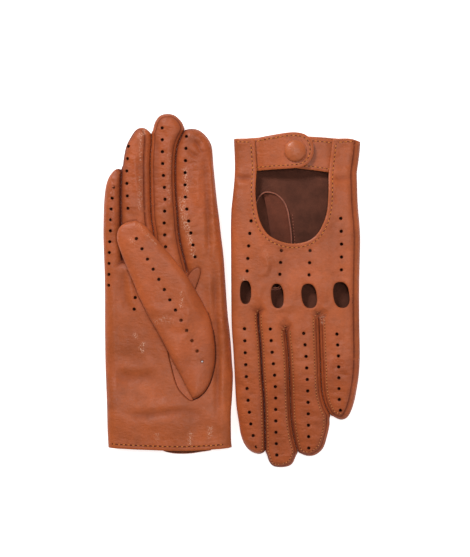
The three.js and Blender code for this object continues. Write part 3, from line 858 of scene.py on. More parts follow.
class Glove:
    """One glove: both faces drawn as a flat pattern, stuffed, sewn at the rim and split into pieces."""

    def __init__(self, side):
        self.side = side
        outline = RIGHT if side == "right" else LEFT
        runs = close_gaps([along(outline[finger], RIM_STEP) for finger in FINGERS])
        rim, run, part = [], [], []
        for number, (finger, points) in enumerate(zip(FINGERS, runs)):
            level = HINGE_Y[finger] - BEND
            for k in range(len(points) - 1):
                a, b = points[k].copy(), points[k + 1].copy()
                if (a[1] - level) * (b[1] - level) < 0:
                    share = (level - a[1]) / (b[1] - a[1])
                    points[k if share < 0.5 else k + 1] = a + share * (b - a)
            tip = points[:, 1].argmax()
            if number:
                points = points[1:]
                tip -= 1
            rim.append(points)
            run += [number] * len(points)
            part += [0 if k < tip else 1 for k in range(len(points))]
        self.rim = np.vstack(rim)
        self.run = np.array(run)
        self.part = np.array(part)
        low_a = [self.rim[0][0], -12]
        low_b = [self.rim[-1][0], -12]
        self.line = np.vstack([low_a, self.rim, low_b])
        self.pieces = {}

    def near(self, points):
        d, q, k, t = nearest(np.asarray(points, float), self.line)
        number = np.clip(k - 1 + (t > 0.5), 0, len(self.rim) - 1)
        return d, q, number

    def roll(self, points):
        """From the flat pattern to the plan of the stuffed glove: the sides turn down over a rounded edge."""
        d, q, _ = self.near(points)
        new = ROUND * (1 - np.cos(np.minimum(d / ROUND, 1) * math.pi / 2))
        share = np.where(d < ROUND, new / np.maximum(d, 1e-9), 1)
        return q + (points - q) * share[:, None]

    def unroll(self, points):
        points = np.asarray(points, float)
        d, q, _ = self.near(points)
        new = flat_distance(d)
        share = np.where(d < ROUND, new / np.maximum(d, 1e-9), 1)
        return q + (points - q) * share[:, None]

    def seams(self, face):
        """Plan distance from each rim point to the seam beside it, easing out round the fingertips."""
        table = SEAMS[self.side, face]
        width = np.array([table[FINGERS[r]][p] for r, p in zip(self.run, self.part)], float)
        kernel = np.hanning(13)
        kernel /= kernel.sum()
        return np.convolve(np.pad(width, 6, mode="edge"), kernel, mode="valid")

    def thumb_hole(self):
        return THUMB_HOLE if self.side == "right" else THUMB_HOLE_LEFT

    def openings(self, face):
        holes = []
        if face == BACK:
            rows = BACK_HOLES + FINGER_BACK_HOLES[self.side]
        else:
            rows = PALM_HOLES[self.side]
        for line, count in rows:
            holes += list(spaced(line, count))
        return np.array(holes)

    def cuff_edge(self, face):
        """The open edge at the wrist, and the turned hems along it."""
        cuff = CUFF[self.side, face]
        if face == PALM:
            path = along(cuff, RIM_STEP)[1:-1]
            return path, [np.vstack([[cuff[0]], path, [cuff[-1]]])]
        cut = along(CUT_OUT, RIM_STEP)
        shift = -2.6 if self.side == "right" else 0
        cut[:, 1] += shift * smooth((12 - cut[:, 1]) / 12)
        first = along([cuff[0], cuff[1], tuple(cut[0])], RIM_STEP)[1:-1]
        between = ((cut[-1][0] + cuff[-1][0]) / 2, cut[-1][1] - 0.1)
        last = along([tuple(cut[-1]), between, cuff[-1]], RIM_STEP)[1:-1]
        hems = [np.vstack([[cuff[0]], first, [cut[0]]]), cut, np.vstack([[cut[-1]], last, [cuff[-1]]])]
        return np.vstack([first, cut, last]), hems

    def cut_loops(self, face, openings):
        """The holes through one face, and the rows of points that hold the leather's shape beside them."""
        loops = [centre + circle(RING) * HOLE for centre in openings]
        rows = [self.unroll(centre + circle(RING) * (HOLE + 0.5)) for centre in openings]
        if face == BACK:
            across, up = circle(36).T
            for x, y, half_x, half_y, lean in KNUCKLES:
                ring_x = half_x * np.sign(across) * np.abs(across) ** 0.8
                ring_y = half_y * np.sign(up) * np.abs(up) ** 0.8
                loops.append(np.column_stack([x + ring_x + lean * ring_y, y + ring_y]))
                rows += [self.unroll(offset(loops[-1], -row, True)) for row in EDGE_ROWS[:3]]
            return loops, rows
        hole = along(self.thumb_hole(), RIM_STEP, True)
        loops.append(hole)
        rows += [self.unroll(offset(hole, row, True)) for row in EDGE_ROWS[:3]]
        petal = along(QUIRK, 0.9, True)
        rows += [self.unroll(offset(petal, row, True)) for row in (-0.5, 0, 0.5)]
        sewn = along(THUMB_RIGHT, 1.0)
        rows += [offset(sewn[sewn[:, 1] < 95], row) for row in (-0.9, -0.45, 0, 0.45)]
        return loops, rows

    def bend_line(self, number, rim_ids, patch):
        """A line of points across a finger where its own piece starts, before its hinge, from side to side.
        """
        finger = FINGERS[number]
        level = HINGE_Y[finger] - BEND
        ends = [i for i in np.where(self.run == number)[0] if abs(self.rim[i][1] - level) < 1e-9]
        if len(ends) != 2:
            raise SystemExit(f"{self.side} {finger} has {len(ends)} points on its bend line")
        a, b = self.rim[ends]
        count = int(np.linalg.norm(a - b) / 1.2)
        line = self.unroll(a + (b - a) * np.linspace(0, 1, count + 1)[1:-1, None])
        patch.lines.append([rim_ids[ends[0]], *patch.add(line), rim_ids[ends[1]]])
        return line

    def flat_face(self, face):
        """Triangulates one face in the flat pattern."""
        patch = Patch()
        rim_ids = patch.add(self.rim)
        path, hems = self.cuff_edge(face)
        patch.loops.append(np.concatenate([rim_ids, patch.add(self.unroll(path))]))
        outer = patch.all()[patch.loops[0]]
        openings = self.openings(face)
        loops, fixed = self.cut_loops(face, openings)
        for line in hems:
            fixed += [self.unroll(offset(line, row)[1:-1]) for row in EDGE_ROWS]
        for loop in loops:
            patch.loop(self.unroll(loop))
        blockers = [patch.all()]
        blockers += [self.bend_line(number, rim_ids, patch) for number in range(len(FINGERS))]
        width = self.seams(face)
        seam_d = flat_distance(width)
        inward = offset(self.rim, 1.0) - self.rim
        rows = []
        for shift in (-SEAM_ROW, SEAM_ROW):
            points = self.rim + inward * (seam_d + shift)[:, None]
            off = np.abs(self.near(points)[0] - (seam_d + shift))
            rows.append(points[(off < 0.06) & (width > SEAMED)])
        seam_points = np.vstack(rows)
        plain = []
        for row in ROWS:
            points = self.rim + inward * row
            plain.append(points[np.abs(self.near(points)[0] - row) < 0.1])
        plain = np.vstack(plain)
        taken = np.vstack(blockers)
        fixed = np.vstack(fixed)
        fixed = thin(fixed[(self.near(fixed)[0] > 0.35) & inside(fixed, outer)], taken, 0.3)
        taken = np.vstack([taken, fixed])
        seam_points = thin(seam_points[inside(seam_points, outer)], taken, 0.34)
        taken = np.vstack([taken, seam_points])
        plain = thin(plain[inside(plain, outer)], taken, 0.42)
        grid = grid_points(self.rim.min(0) - 5, self.rim.max(0) + 5, GRID)
        grid = grid[inside(grid, outer)]
        grid = thin(grid[self.near(grid)[0] > ROWS[-1] + 0.7], np.vstack([taken, plain]), 0.85)
        for extra in (fixed, seam_points, plain, grid):
            patch.add(extra)
        verts, tris, ids = triangulate(patch.all(), patch.loops, patch.lines)
        return {"flat": verts, "tris": tris, "rim": [ids[i] for i in rim_ids], "hems": hems, "loops": loops,
                "holes": openings, "width": width}

    def relief(self, face, plan, folds):
        """How far the leather stands off a flat glove: swells, creases across the fingers, and folds."""
        seed = (3.1 if self.side == "right" else 7.7) + 11 * (face == BACK)
        on_table = face == (BACK if self.side == "right" else PALM)
        finger = smooth((plan[:, 1] - 118) / 25)
        swell = field(plan, 26, 30, seed) * 1.1 + field(plan, 10, 13, seed + 5, 2) * 0.42
        crease = (np.abs(field(plan, 12, 5.5, seed + 9, 2)) * -0.75
                  + field(plan, 4.5, 16, seed + 17) * 0.28 + 0.2)
        ripple = field(plan, 3.6, 4.4, seed + 13) * 0.1
        still = 1.0
        if face == PALM:
            still = smooth(rim_distance(plan, along(self.thumb_hole(), RIM_STEP, True)) / 9)
        return (0.35 if on_table else 1.0) * (still * (swell + ripple) + finger * crease + folds)

    def outer_side(self, number):
        """Whether a rim point is on the glove's own two sides, and not between fingers."""
        first = (self.run[number] == 0) & (self.part[number] == 0)
        last = (self.run[number] == len(FINGERS) - 1) & (self.part[number] == 1)
        return first | last

    def shape(self, face, data):
        """Heights, thickness and painted shade, highlight and glints of one face."""
        d, _, number = self.near(data["flat"])
        plan = self.roll(data["flat"])
        angle = np.minimum(d / ROUND, 1) * math.pi / 2
        crown = np.sin(angle)
        plan_d = ROUND * (1 - np.cos(angle)) + np.maximum(d - ROUND, 0)
        width = data["width"][number]
        x, y = plan.T
        folds = ridges(plan, FOLDS[self.side, face])
        height = self.relief(face, plan, folds)

        # the seams beside the fingers: a step up to the panel, a sunk thread and a puckered edge, with
        # painted shade in the groove and the pucker
        seamed = width > SEAMED
        height += SEAM_DEPTH * np.where(seamed, smooth((plan_d - width + 0.1) / 0.2), 1.0)
        groove = np.where(seamed, bell(plan_d - width + 0.35, 0.4), 0)
        height -= SEAM_DEPTH * groove
        pucker = np.where(seamed, bell(plan_d - width - 1.0, 0.7), 0)
        height -= 0.16 * pucker * (0.6 + 0.8 * np.sin(y * 2.1 + x))
        dark = 0.95 * groove + 0.22 * pucker
        # painted shade along the rim, where the side rolls over
        dark += 0.45 * fade(plan_d, 0.8)

        # the turned hems
        hem = np.full(len(plan), 99.0)
        for line in data["hems"]:
            hem = np.minimum(hem, nearest(plan, line)[0])
        height += 0.26 * (1 - smooth((hem - HEM_WIDTH) / 0.8)) - 0.24 * bell(hem - HEM_ROW, 0.55)
        height -= 0.4 * fade(hem, 0.8)
        thick = np.where(hem < HEM_WIDTH + 0.4, HEM, SKIN)
        # a painted highlight, with some edge wear, along the turned edge, and painted shade along the stitch
        # row
        light = 0.55 * (1 - smooth((hem - 0.2) / 0.9))
        dark += 0.10 * bell(hem - HEM_ROW, 0.6)

        # the ventilation holes, the knuckle holes and the thumb's hole, with painted shade at their edges
        gap = np.full(len(plan), 99.0)
        for chunk in np.array_split(data["holes"], max(1, len(data["holes"]) // 8)):
            gap = np.minimum(gap, np.linalg.norm(plan[:, None] - chunk, axis=2).min(1))
        sink, tone = hole_edge(gap)
        height -= sink
        dark += tone
        for loop in data["loops"]:
            if len(loop) > RING:
                edge = rim_distance(plan, loop)
                sink, tone, reach = THUMB_HOLE_EDGE if len(loop) > 60 else KNUCKLE_EDGE
                height -= sink * fade(edge, 0.9)
                dark += tone * fade(edge, reach)

        # the thumb's painted shadow line, and painted shade in its seam and round the quirk
        if face == PALM:
            dark += 0.7 * bell(nearest(plan, along(THUMB_LEFT, 1.0))[0], 0.8)
            sewn = along(THUMB_RIGHT, 1.0)
            edge = nearest(plan, sewn[sewn[:, 1] < 92])[0]
            height -= 0.5 * bell(edge, 0.55)
            dark += 1.0 * bell(edge, 0.5)
            edge = rim_distance(plan, along(QUIRK, 0.9, True))
            height -= 0.5 * bell(edge, 0.5)
            dark += 0.75 * bell(edge, 0.45)

        z = MID + drape(self.side, y) + face * (HALF * crown + height * crown)
        z = np.minimum(z, DEPTH - PALM_GAP) if self.side == "left" else np.maximum(z, BACK_GAP)
        # painted shade in hollows and creases; painted highlight on the glove's outer rims and on fold ridges
        dark += np.clip(-height * 0.12, 0, 0.15) + np.clip(-folds * 0.2, 0, 0.26)
        light += 0.12 * self.outer_side(number) * fade(plan_d, 1.1) + np.clip(folds * 0.16 - 0.05, 0, 0.14)
        # painted glints: pale specks that stand in for specular highlights
        scuff = painted_glints(plan, GLINTS.get((self.side, face), []))
        data.update(points=np.column_stack([plan, z]), thick=thick, dark=dark, light=light, scuff=scuff)

    def build(self):
        palm, back = ({}, {})
        for face, data in ((PALM, palm), (BACK, back)):
            data.update(self.flat_face(face))
            self.shape(face, data)
        merge = np.arange(len(back["points"])) + len(palm["points"])
        for a, b in zip(palm["rim"], back["rim"]):
            merge[b] = a
            palm["points"][a] = (palm["points"][a] + back["points"][b]) / 2
        for number in range(len(FINGERS)):
            own = np.where(self.run == number)[0]
            for other in neighbours(number):
                d, q, _, _ = nearest(self.rim[own], self.rim[self.run == other])
                step = np.where(d < TOUCHING, TOUCHING_SHARE, 0)[:, None] * (q - self.rim[own])
                for i, move in zip(own, step):
                    palm["points"][palm["rim"][i]][:2] += move

        def both(key):
            return np.concatenate([palm[key], back[key]])

        self.outer = both("points")
        self.tris = np.vstack([palm["tris"], merge[back["tris"][:, ::-1]]])
        self.face_of = np.array([PALM] * len(palm["tris"]) + [BACK] * len(back["tris"]))
        self.normals = vertex_normals(self.outer, self.tris)
        self.inner = self.outer - self.normals * both("thick")[:, None]
        self.masks = [np.clip(both("dark"), 0, 1), np.clip(both("light"), 0, 1), both("scuff")]
        self.trees = {face: tree(self.outer, self.tris[self.face_of == face]) for face in (PALM, BACK)}
        centre = np.vstack([data["flat"][data["tris"]].mean(1) for data in (palm, back)])
        d, _, number = self.near(centre)
        width = np.where(self.face_of == PALM, palm["width"][number], back["width"][number])
        finger = self.run[number]
        level = np.array([HINGE_Y[name] - BEND for name in FINGERS])[finger]
        beyond = self.roll(centre)[:, 1] > level
        side_strip = (d < flat_distance(width) - 0.11) & (width > SEAMED)
        outer_side = self.outer_side(number)
        self.split(beyond, self.joined(beyond, finger), side_strip & ~outer_side, side_strip & outer_side)

    def joined(self, beyond, guess):
        """The finger of each triangle past a bend line: that of most triangles it hangs together with."""
        parent = list(range(len(self.outer)))

        def root(v):
            while parent[v] != v:
                parent[v] = parent[parent[v]]
                v = parent[v]
            return v

        for a, b, c in self.tris[beyond].tolist():
            parent[root(b)] = root(a)
            parent[root(c)] = root(a)
        group = np.array([root(t[0]) for t in self.tris.tolist()])
        out = guess.copy()
        labels = np.unique(group[beyond])
        if len(labels) != len(FINGERS):
            raise SystemExit(f"{self.side} glove has {len(labels)} separate fingers")
        for label in labels:
            mask = beyond & (group == label)
            out[mask] = np.bincount(guess[mask]).argmax()
        return out

    def split(self, beyond, finger, wall, strip):
        side = self.side
        body = f"{side}_glove"
        palm = (self.face_of == PALM) | strip
        self.piece("palm_leather", ~beyond & ~wall & palm, TAN_PALM, f"{side}_palm_panel")
        self.piece("back_leather", ~beyond & ~wall & ~palm, TAN, f"{side}_back_panel")
        self.piece("fourchettes", ~beyond & wall, TAN_WALL, *(f"{side}_{name}" for name in FOURCHETTES))
        for obj in self.pieces.values():
            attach(obj, body)
        for number, name in enumerate(FINGERS):
            mask = beyond & (finger == number)
            part = self.piece(f"{name}_finger", mask, TAN_FINGER, f"{side}_{name}_finger_end")
            self.bend(part, name)

    def piece(self, name, mask, material, *nodes):
        obj = shell_object(f"{self.side}_{name}", self.side, self.outer, self.inner, self.normals,
                           self.tris[mask], [material, SUEDE])
        used = np.unique(self.tris[mask])
        paint(obj, *(mask[used] for mask in self.masks))
        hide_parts(*nodes)
        self.pieces[name] = obj
        return obj

    def bend(self, obj, name):
        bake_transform(obj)


def paint(obj, dark, light=0.0, scuff=0.0):
    """Three masks in one attribute, the outer skin's and then the inner: painted shade, painted highlight
    (with some edge wear), painted glints.
    """
    layer = obj.data.color_attributes.new(name=MASKS, type="FLOAT_COLOR", domain="POINT")
    colours = np.ones((len(dark), 4), np.float32)
    for channel, mask in enumerate((dark, light, scuff)):
        colours[:, channel] = mask
    layer.data.foreach_set("color", np.vstack([colours, colours]).ravel())


# ---------- sheets in general ----------
def cover(loop, rows, step, holes=()):
    """A flat triangulated sheet inside a loop that runs either way, with rows of points along its edge."""
    way = 1 if winding(loop) > 0 else -1
    patch = Patch()
    patch.loops.append(patch.add(loop))
    taken = [loop]
    for hole in holes:
        patch.loop(hole)
        row = offset(hole, 0.5 * (1 if winding(hole) < 0 else -1), True)
        taken += [hole, row]
        patch.add(row)
    near_holes = np.vstack(taken[1:]) if holes else np.zeros((0, 2))
    for row in rows:
        points = offset(loop, row * way, True)
        at_row = np.abs(rim_distance(points, loop) - row) < 0.06 + row * 0.05
        points = thin(points[at_row & inside(points, loop)], near_holes, 0.35)
        patch.add(points)
        taken.append(points)
    grid = grid_points(loop.min(0) - 3, loop.max(0) + 3, step)
    grid = grid[inside(grid, loop)]
    deep = rim_distance(grid, loop) > rows[-1] + step * 0.5
    patch.add(thin(grid[deep], np.vstack(taken), step * 0.55))
    verts, tris, ids = triangulate(patch.all(), patch.loops)
    return verts, tris, [ids[i] for i in patch.loops[0]], rim_distance(verts, loop)


def sheet(name, side, outer, tris, thickness, materials, *masks):
    """A shell below a triangulated outer face, painted with masks that have a value for each point."""
    normals = vertex_normals(outer, tris)
    obj = shell_object(name, side, outer, outer - normals * thickness, normals, tris, materials)
    used = np.unique(tris)
    paint(obj, *(mask[used] for mask in masks))
    return obj


def arch(d, radius):
    """Height of a rounded edge, 0 at the rim and 1 a radius in."""
    return np.sqrt(np.clip(1 - (1 - np.minimum(d / radius, 1)) ** 2, 0, 1))


def plate(name, side, loop, height, face, thickness, materials, swell=0.15, seed=1.0, step=1.4):
    """A flat piece of leather: height(x) is its outer face."""
    verts, tris, _, d = cover(loop, (0.2, 0.5, 1.0, 1.7), step)
    x, y = verts[:, 0], verts[:, 1]
    wave = field(verts, 9, 9, seed, 2) * swell
    z = height(x) + face * (wave - 0.42 * fade(d, 0.9))
    stitched = bell(d - 2.4, 0.5)
    z = z - face * 0.16 * stitched
    outer = np.column_stack([verts, z])
    if face == BACK:
        tris = tris[:, ::-1]
    # painted shade in the stitch groove and at the edge; a painted highlight, with some edge wear, along the
    # edge
    dark = 0.12 * stitched + 0.12 * fade(d, 0.5)
    light = 0.6 * (1 - smooth((d - 0.1) / 0.8))
    return sheet(name, side, outer, tris, thickness, materials, dark, light), tree(outer, tris)


def lofted(name, side, rows, thickness, materials, face):
    """A sheet through rows of points of one length, with its outer side on the given face."""
    grid = np.array(rows, float)
    n, m = grid.shape[:2]
    outer = grid.reshape(-1, 3)
    tris = []
    for i in range(n - 1):
        for j in range(m - 1):
            a = i * m + j
            tris += [(a, a + 1, a + m + 1), (a, a + m + 1, a + m)]
    tris = np.array(tris)
    if vertex_normals(outer, tris)[:, 2].sum() * face < 0:
        tris = tris[:, ::-1]
    return sheet(name, side, outer, tris, thickness, materials, np.zeros(len(outer)))


def closed_tube(rows, count):
    """Faces for rows of points, each row a ring, with the last row joined to the first."""
    faces = []
    for i in range(rows):
        for j in range(count):
            a, b = i * count, (i + 1) % rows * count
            k = (j + 1) % count
            faces.append((a + j, a + k, b + k, b + j))
    return faces


def lathe(name, side, centre, face, profile, material, smooth_angle=40, count=48):
    """A turned piece; profile is a closed ring of [radius, z], z from the tab's outer face."""
    rows = []
    verts, faces = [], []
    for radius, z in profile:
        start = len(verts)
        if radius < 1e-6:
            verts.append((centre[0], centre[1], face + z))
            rows.append([start] * count)
        else:
            verts += [(centre[0] + radius * x, centre[1] + radius * y, face + z) for x, y in circle(count)]
            rows.append(list(range(start, start + count)))
    pairs = list(zip(rows, rows[1:] + rows[:1]))
    for a, b in pairs:
        if a[0] == a[1] and b[0] == b[1]:
            continue
        for k in range(count):
            n = (k + 1) % count
            ring = [a[k], a[n], b[n], b[k]]
            ring = [v for i, v in enumerate(ring) if v not in ring[:i]]
            faces.append(tuple(ring))
    world = place(side, np.array(verts))
    if (winding(np.array(profile)) < 0) != (side == "left"):
        faces = [f[::-1] for f in faces]
    obj = mesh_object(name, world, faces, [material])
    obj.data.set_sharp_from_angle(angle=math.radians(smooth_angle))
    return obj


# ---------- thumb ----------
TOP = MID + HALF + 0.42  # the palm's face beside the thumb


def thumb_rise(x, y, left, right):
    """How free of the palm the thumb is: 0 where it is sewn in, 1 past its root."""
    points = np.column_stack([x, y])
    dl = nearest(points, left)[0]
    dr = nearest(points, right)[0]
    u = dl / np.maximum(dl + dr, 1e-6)
    return smooth((y - 33 - 62 * u) / (25 - 3 * u))


THUMB_FOLDS = [
    ([(-14, 98), (-4, 93), (7, 96)], 3.2, 0.45), ([(9, 80), (13.4, 88), (13.6, 96)], 1.5, 0.5),
    ([(-2, 84), (6, 78), (15, 80)], 2.8, -0.35), ([(-30, 143), (-24, 140), (-19, 147)], 2.2, 0.35),
    ([(-23, 150), (-17, 147), (-12, 141)], 1.8, 0.35), ([(24, 84), (16, 98), (8, 112)], 2.6, 0.4),
]


def thumb(glove):
    side = glove.side
    left = along(THUMB_LEFT, 1.2)
    right = along(THUMB_RIGHT, 1.2)
    loop = np.vstack([left[:-1], right[:-1]])
    rows = (0.12, 0.4, 0.85, 1.5, 2.3, 3.3, 4.5)
    ring = circle(RING) * HOLE
    centres = spaced(THUMB_HOLES[side], 13)
    top = cover(loop, rows, 1.5, [c + ring for c in centres])
    low = cover(loop, rows, 1.7)
    points = []
    for (verts, tris, rim, d), face in ((top, PALM), (low, BACK)):
        x, y = verts[:, 0], verts[:, 1]
        rise = thumb_rise(x, y, left, right)
        middle = TOP + drape(side, y) - 0.15 + 3.5 * rise
        if face == PALM:
            bump = (field(verts, 15, 18, 21.5) * 0.55 + field(verts, 7, 9, 27.5, 2) * 0.22
                    + ridges(verts, THUMB_FOLDS))
            gap = np.linalg.norm(verts[:, None] - centres, axis=2).min(1)
            sink, tone = hole_edge(gap)
            bump -= sink
            radius = 10.5 - 4.0 * rise
            z = middle + (4.6 - 1.2 * rise) * arch(d, radius) + bump * smooth(d / 4)
            # painted shade at the hole edges and round the rim
            dark = tone + 0.3 * fade(d, 0.35)
        else:
            z = middle - 3.1 * rise * arch(d, 5.5)
            # painted shade round the rim
            dark = 0.3 * fade(d, 0.5)
        z = np.minimum(z, DEPTH - PALM_GAP) if side == "left" else z
        points.append((np.column_stack([verts, z]), dark))
    merge = np.arange(len(points[1][0])) + len(points[0][0])
    for a, b in zip(top[2], low[2]):
        merge[b] = a
    outer = np.vstack([points[0][0], points[1][0]])
    tris = np.vstack([top[1], merge[low[1][:, ::-1]]])
    normals = vertex_normals(outer, tris)
    hole = offset(along(glove.thumb_hole(), 1.2, True), -0.8, True)
    centre = low[0][low[1]].mean(1)
    rise = thumb_rise(centre[:, 0], centre[:, 1], left, right)
    keep = np.concatenate([np.ones(len(top[1]), bool), ~(inside(centre, hole) | (rise < 0.03))])
    obj = shell_object(f"{side}_thumb_leather", side, outer, outer - normals * SKIN, normals, tris[keep],
                       [TAN_THUMB, SUEDE])
    used = np.unique(tris[keep])
    dark = np.concatenate([points[0][1], points[1][1]])[used]
    paint(obj, dark, scuff=painted_glints(outer[used, :2], THUMB_GLINTS))
    glove.thumb_tree = tree(outer, top[1])
    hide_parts(f"{side}_thumb_root", f"{side}_thumb_end")
    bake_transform(obj)


def gusset(glove):
    """The inside wall of the thumb, from the hole's edge on the little finger's side."""
    side = glove.side
    hole = along(glove.thumb_hole(), 0.8, True)
    far = along(GUSSET_TOP[side], 1.0)
    first = np.linalg.norm(hole - [16.9, 32.4 if side == "right" else 36.8], axis=1).argmin()
    edge = np.roll(hole, -first, axis=0)
    last = np.linalg.norm(edge - [10, 101.5], axis=1).argmin()
    edge = offset(edge[:last + 1], 0.35)
    shares = np.linspace(0, 1, 48)
    near_edge, far_edge = (points_at(line, shares * lengths(line)[-1]) for line in (edge, far))
    grid = []
    for share in np.linspace(0, 1, 12):
        p = near_edge + (far_edge - near_edge) * share
        rise = smooth((p[:, 1] - 33) / 25)
        fold = 0.35 * np.sin(share * 9 + p[:, 1] * 0.05) * share * (1 - share) * 4
        z = TOP + drape(side, p[:, 1]) - 0.75 + (0.5 + 3.2 * rise) * share**2 + fold
        grid.append(np.column_stack([p, z]))
    obj = lofted(f"{side}_thumb_gusset", side, grid, 0.7, [TAN_THUMB, SEAM], PALM)
    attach(obj, f"{side}_glove")


def seam_allowance(glove):
    """The sewn edge of the thumb hole, standing up inside the palm."""
    side = glove.side
    line = offset(along(glove.thumb_hole(), 1.0, True), 0.7, True)
    rows = []
    for i, (x, y) in enumerate(line):
        wave = 0.35 * noise.noise((x / 5, y / 5, 4.4))
        tall = 2.3 + 0.8 * noise.noise((x / 7, y / 7, 9.4))
        low = TOP + float(drape(side, y)) - SKIN + 0.1
        before, after = line[i - 1], line[(i + 1) % len(line)]
        tangent = (after - before) / np.linalg.norm(after - before)
        across = np.array([-tangent[1], tangent[0]])
        ring = []
        for w, h in ((-0.55, 0), (-0.5, -0.8), (-0.4, -tall), (0.0, -tall - 0.25), (0.4, -tall + 0.1),
                     (0.5, -0.8), (0.55, 0)):
            p = np.array([x, y]) + across * (w + wave * (-h / 2.0))
            ring.append((p[0], p[1], low + h))
        rows.append(ring)
    rows = np.array(rows)
    world = place(side, rows.reshape(-1, 3))
    obj = mesh_object(f"{side}_thumb_seam_allowance", world, closed_tube(*rows.shape[:2]), [EDGE])
    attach(obj, f"{side}_glove")


def quirk(glove):
    side = glove.side
    loop = along(QUIRK, 0.9, True)
    verts, tris, _, d = cover(loop, (0.2, 0.5, 0.9, 1.4), 0.9)
    z = (TOP + drape(side, verts[:, 1]) - 0.62 + 0.75 * arch(d, 2.0)
         + field(verts, 2.5, 3.5, 3.3) * 0.12 * smooth(d))
    # painted shade round its rim, and darker all over
    obj = sheet(f"{side}_quirk", side, np.column_stack([verts, z]), tris, 0.5, [TAN_PALM, SUEDE],
                0.55 * fade(d, 0.5) + 0.25)
    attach(obj, f"{side}_glove")
    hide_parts(f"{side}_thumb_quirk")


# ---------- snap strap ----------
LIFT = {"right": 6.0, "left": -4.0}


def tab_face(side, x):
    """Local z of the closing tab's outer face, from under the panel's edge to out over the snap."""
    return LIFT[side] + 1.9 * smooth((x - 21) / 6.5) - TAB_RISE * smooth((TAB_ROOT - x) / 20)


def tab_outline(side, step):
    """The right strap's lower edge hangs a little past the cuff."""
    loop = along(TAB, step)
    if side == "right":
        x, y = loop.T
        loop[:, 1] = y - 3.2 * smooth((x + 12) / 30) * smooth((10 - y) / 8)
    return loop


def strap(glove):
    side = glove.side
    loop = along(UNDER_TAB, 1.2)
    loop = np.vstack([loop, spaced([UNDER_TAB[-1], UNDER_TAB[0]], 18)[1:-1]])
    under, glove.under_tree = plate(f"{side}_under_strap", side, loop,
                                    lambda x: LIFT[side] + 1.3 + 0.55 * smooth((-20.5 - x) / 4),
                                    BACK, TAB_PLIES, [TAN, LINING], seed=2.5)
    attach(under, f"{side}_glove")
    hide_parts(f"{side}_under_tab", f"{side}_under_tab_lining")
    loop = tab_outline(side, 1.2)
    loop = np.vstack([loop, spaced([loop[-1], loop[0]], 18)[1:-1]])
    closing, glove.tab_tree = plate(f"{side}_closing_strap", side, loop, lambda x: tab_face(side, x), BACK,
                                    TAB_PLIES, [TAN, LINING], swell=0.28, seed=5.5)
    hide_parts(f"{side}_closing_tab", f"{side}_closing_tab_lining")
    open_strap(closing)
    face = float(tab_face(side, SNAP_X))
    cover_top, cover_under = [], []
    for t in np.linspace(0, math.pi / 2, 19):
        r = 7.55 * math.sin(t)
        ring = 0.05 * math.exp(-(((r - 4.1) / 0.45) ** 2))
        cover_top.append((r, -0.15 - 3.1 * max(math.cos(t), 0) ** 0.8 + ring))
        cover_under.append((6.95 * math.sin(t), -0.15 - 2.5 * max(math.cos(t), 0) ** 0.8))
    cover_top += [(7.5, 0.1), (7.2, 0.18)]
    cap = [(6.6 * math.sin(t), -0.2 - 2.0 * max(math.cos(t), 0)) for t in np.linspace(0, math.pi / 2, 12)]
    turned = {
        "snap_cover": (cover_top + cover_under[::-1], "tab"),
        "snap_cap": (cap + [(1.1, -0.2), (1.1, 1.85), (0, 1.85)], "tab"),
        "snap_socket": (SOCKET, "tab"),
        "snap_stud": (STUD, "glove"),
        "snap_eyelet": (EYELET, "glove"),
    }
    for name, (profile, body) in turned.items():
        leathery = name == "snap_cover"
        obj = lathe(f"{side}_{name}_turned", side, (SNAP_X, SNAP_Y), face, profile,
                    TAN_BUTTON if leathery else BRASS, 60 if leathery else 40)
        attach(obj, f"{side}_{body}")
        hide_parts(f"{side}_{name}")


def open_strap(obj):
    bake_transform(obj)


# ---------- stitches ----------
STRAP_ROW = 2.3  # the straps' stitches from their edge
LINING_ROW = [(2.6, 52), (2.0, 60), (1.0, 71), (1.2, 84)]
# Each ring of a stitch: its share of the length, its width and its height, in radii.
THREAD_SHAPE = (
    (0.0, 0.45, -0.6), (0.14, 0.9, 0.25), (0.5, 1.0, 0.75), (0.86, 0.9, 0.25), (1.0, 0.45, -0.6),
)


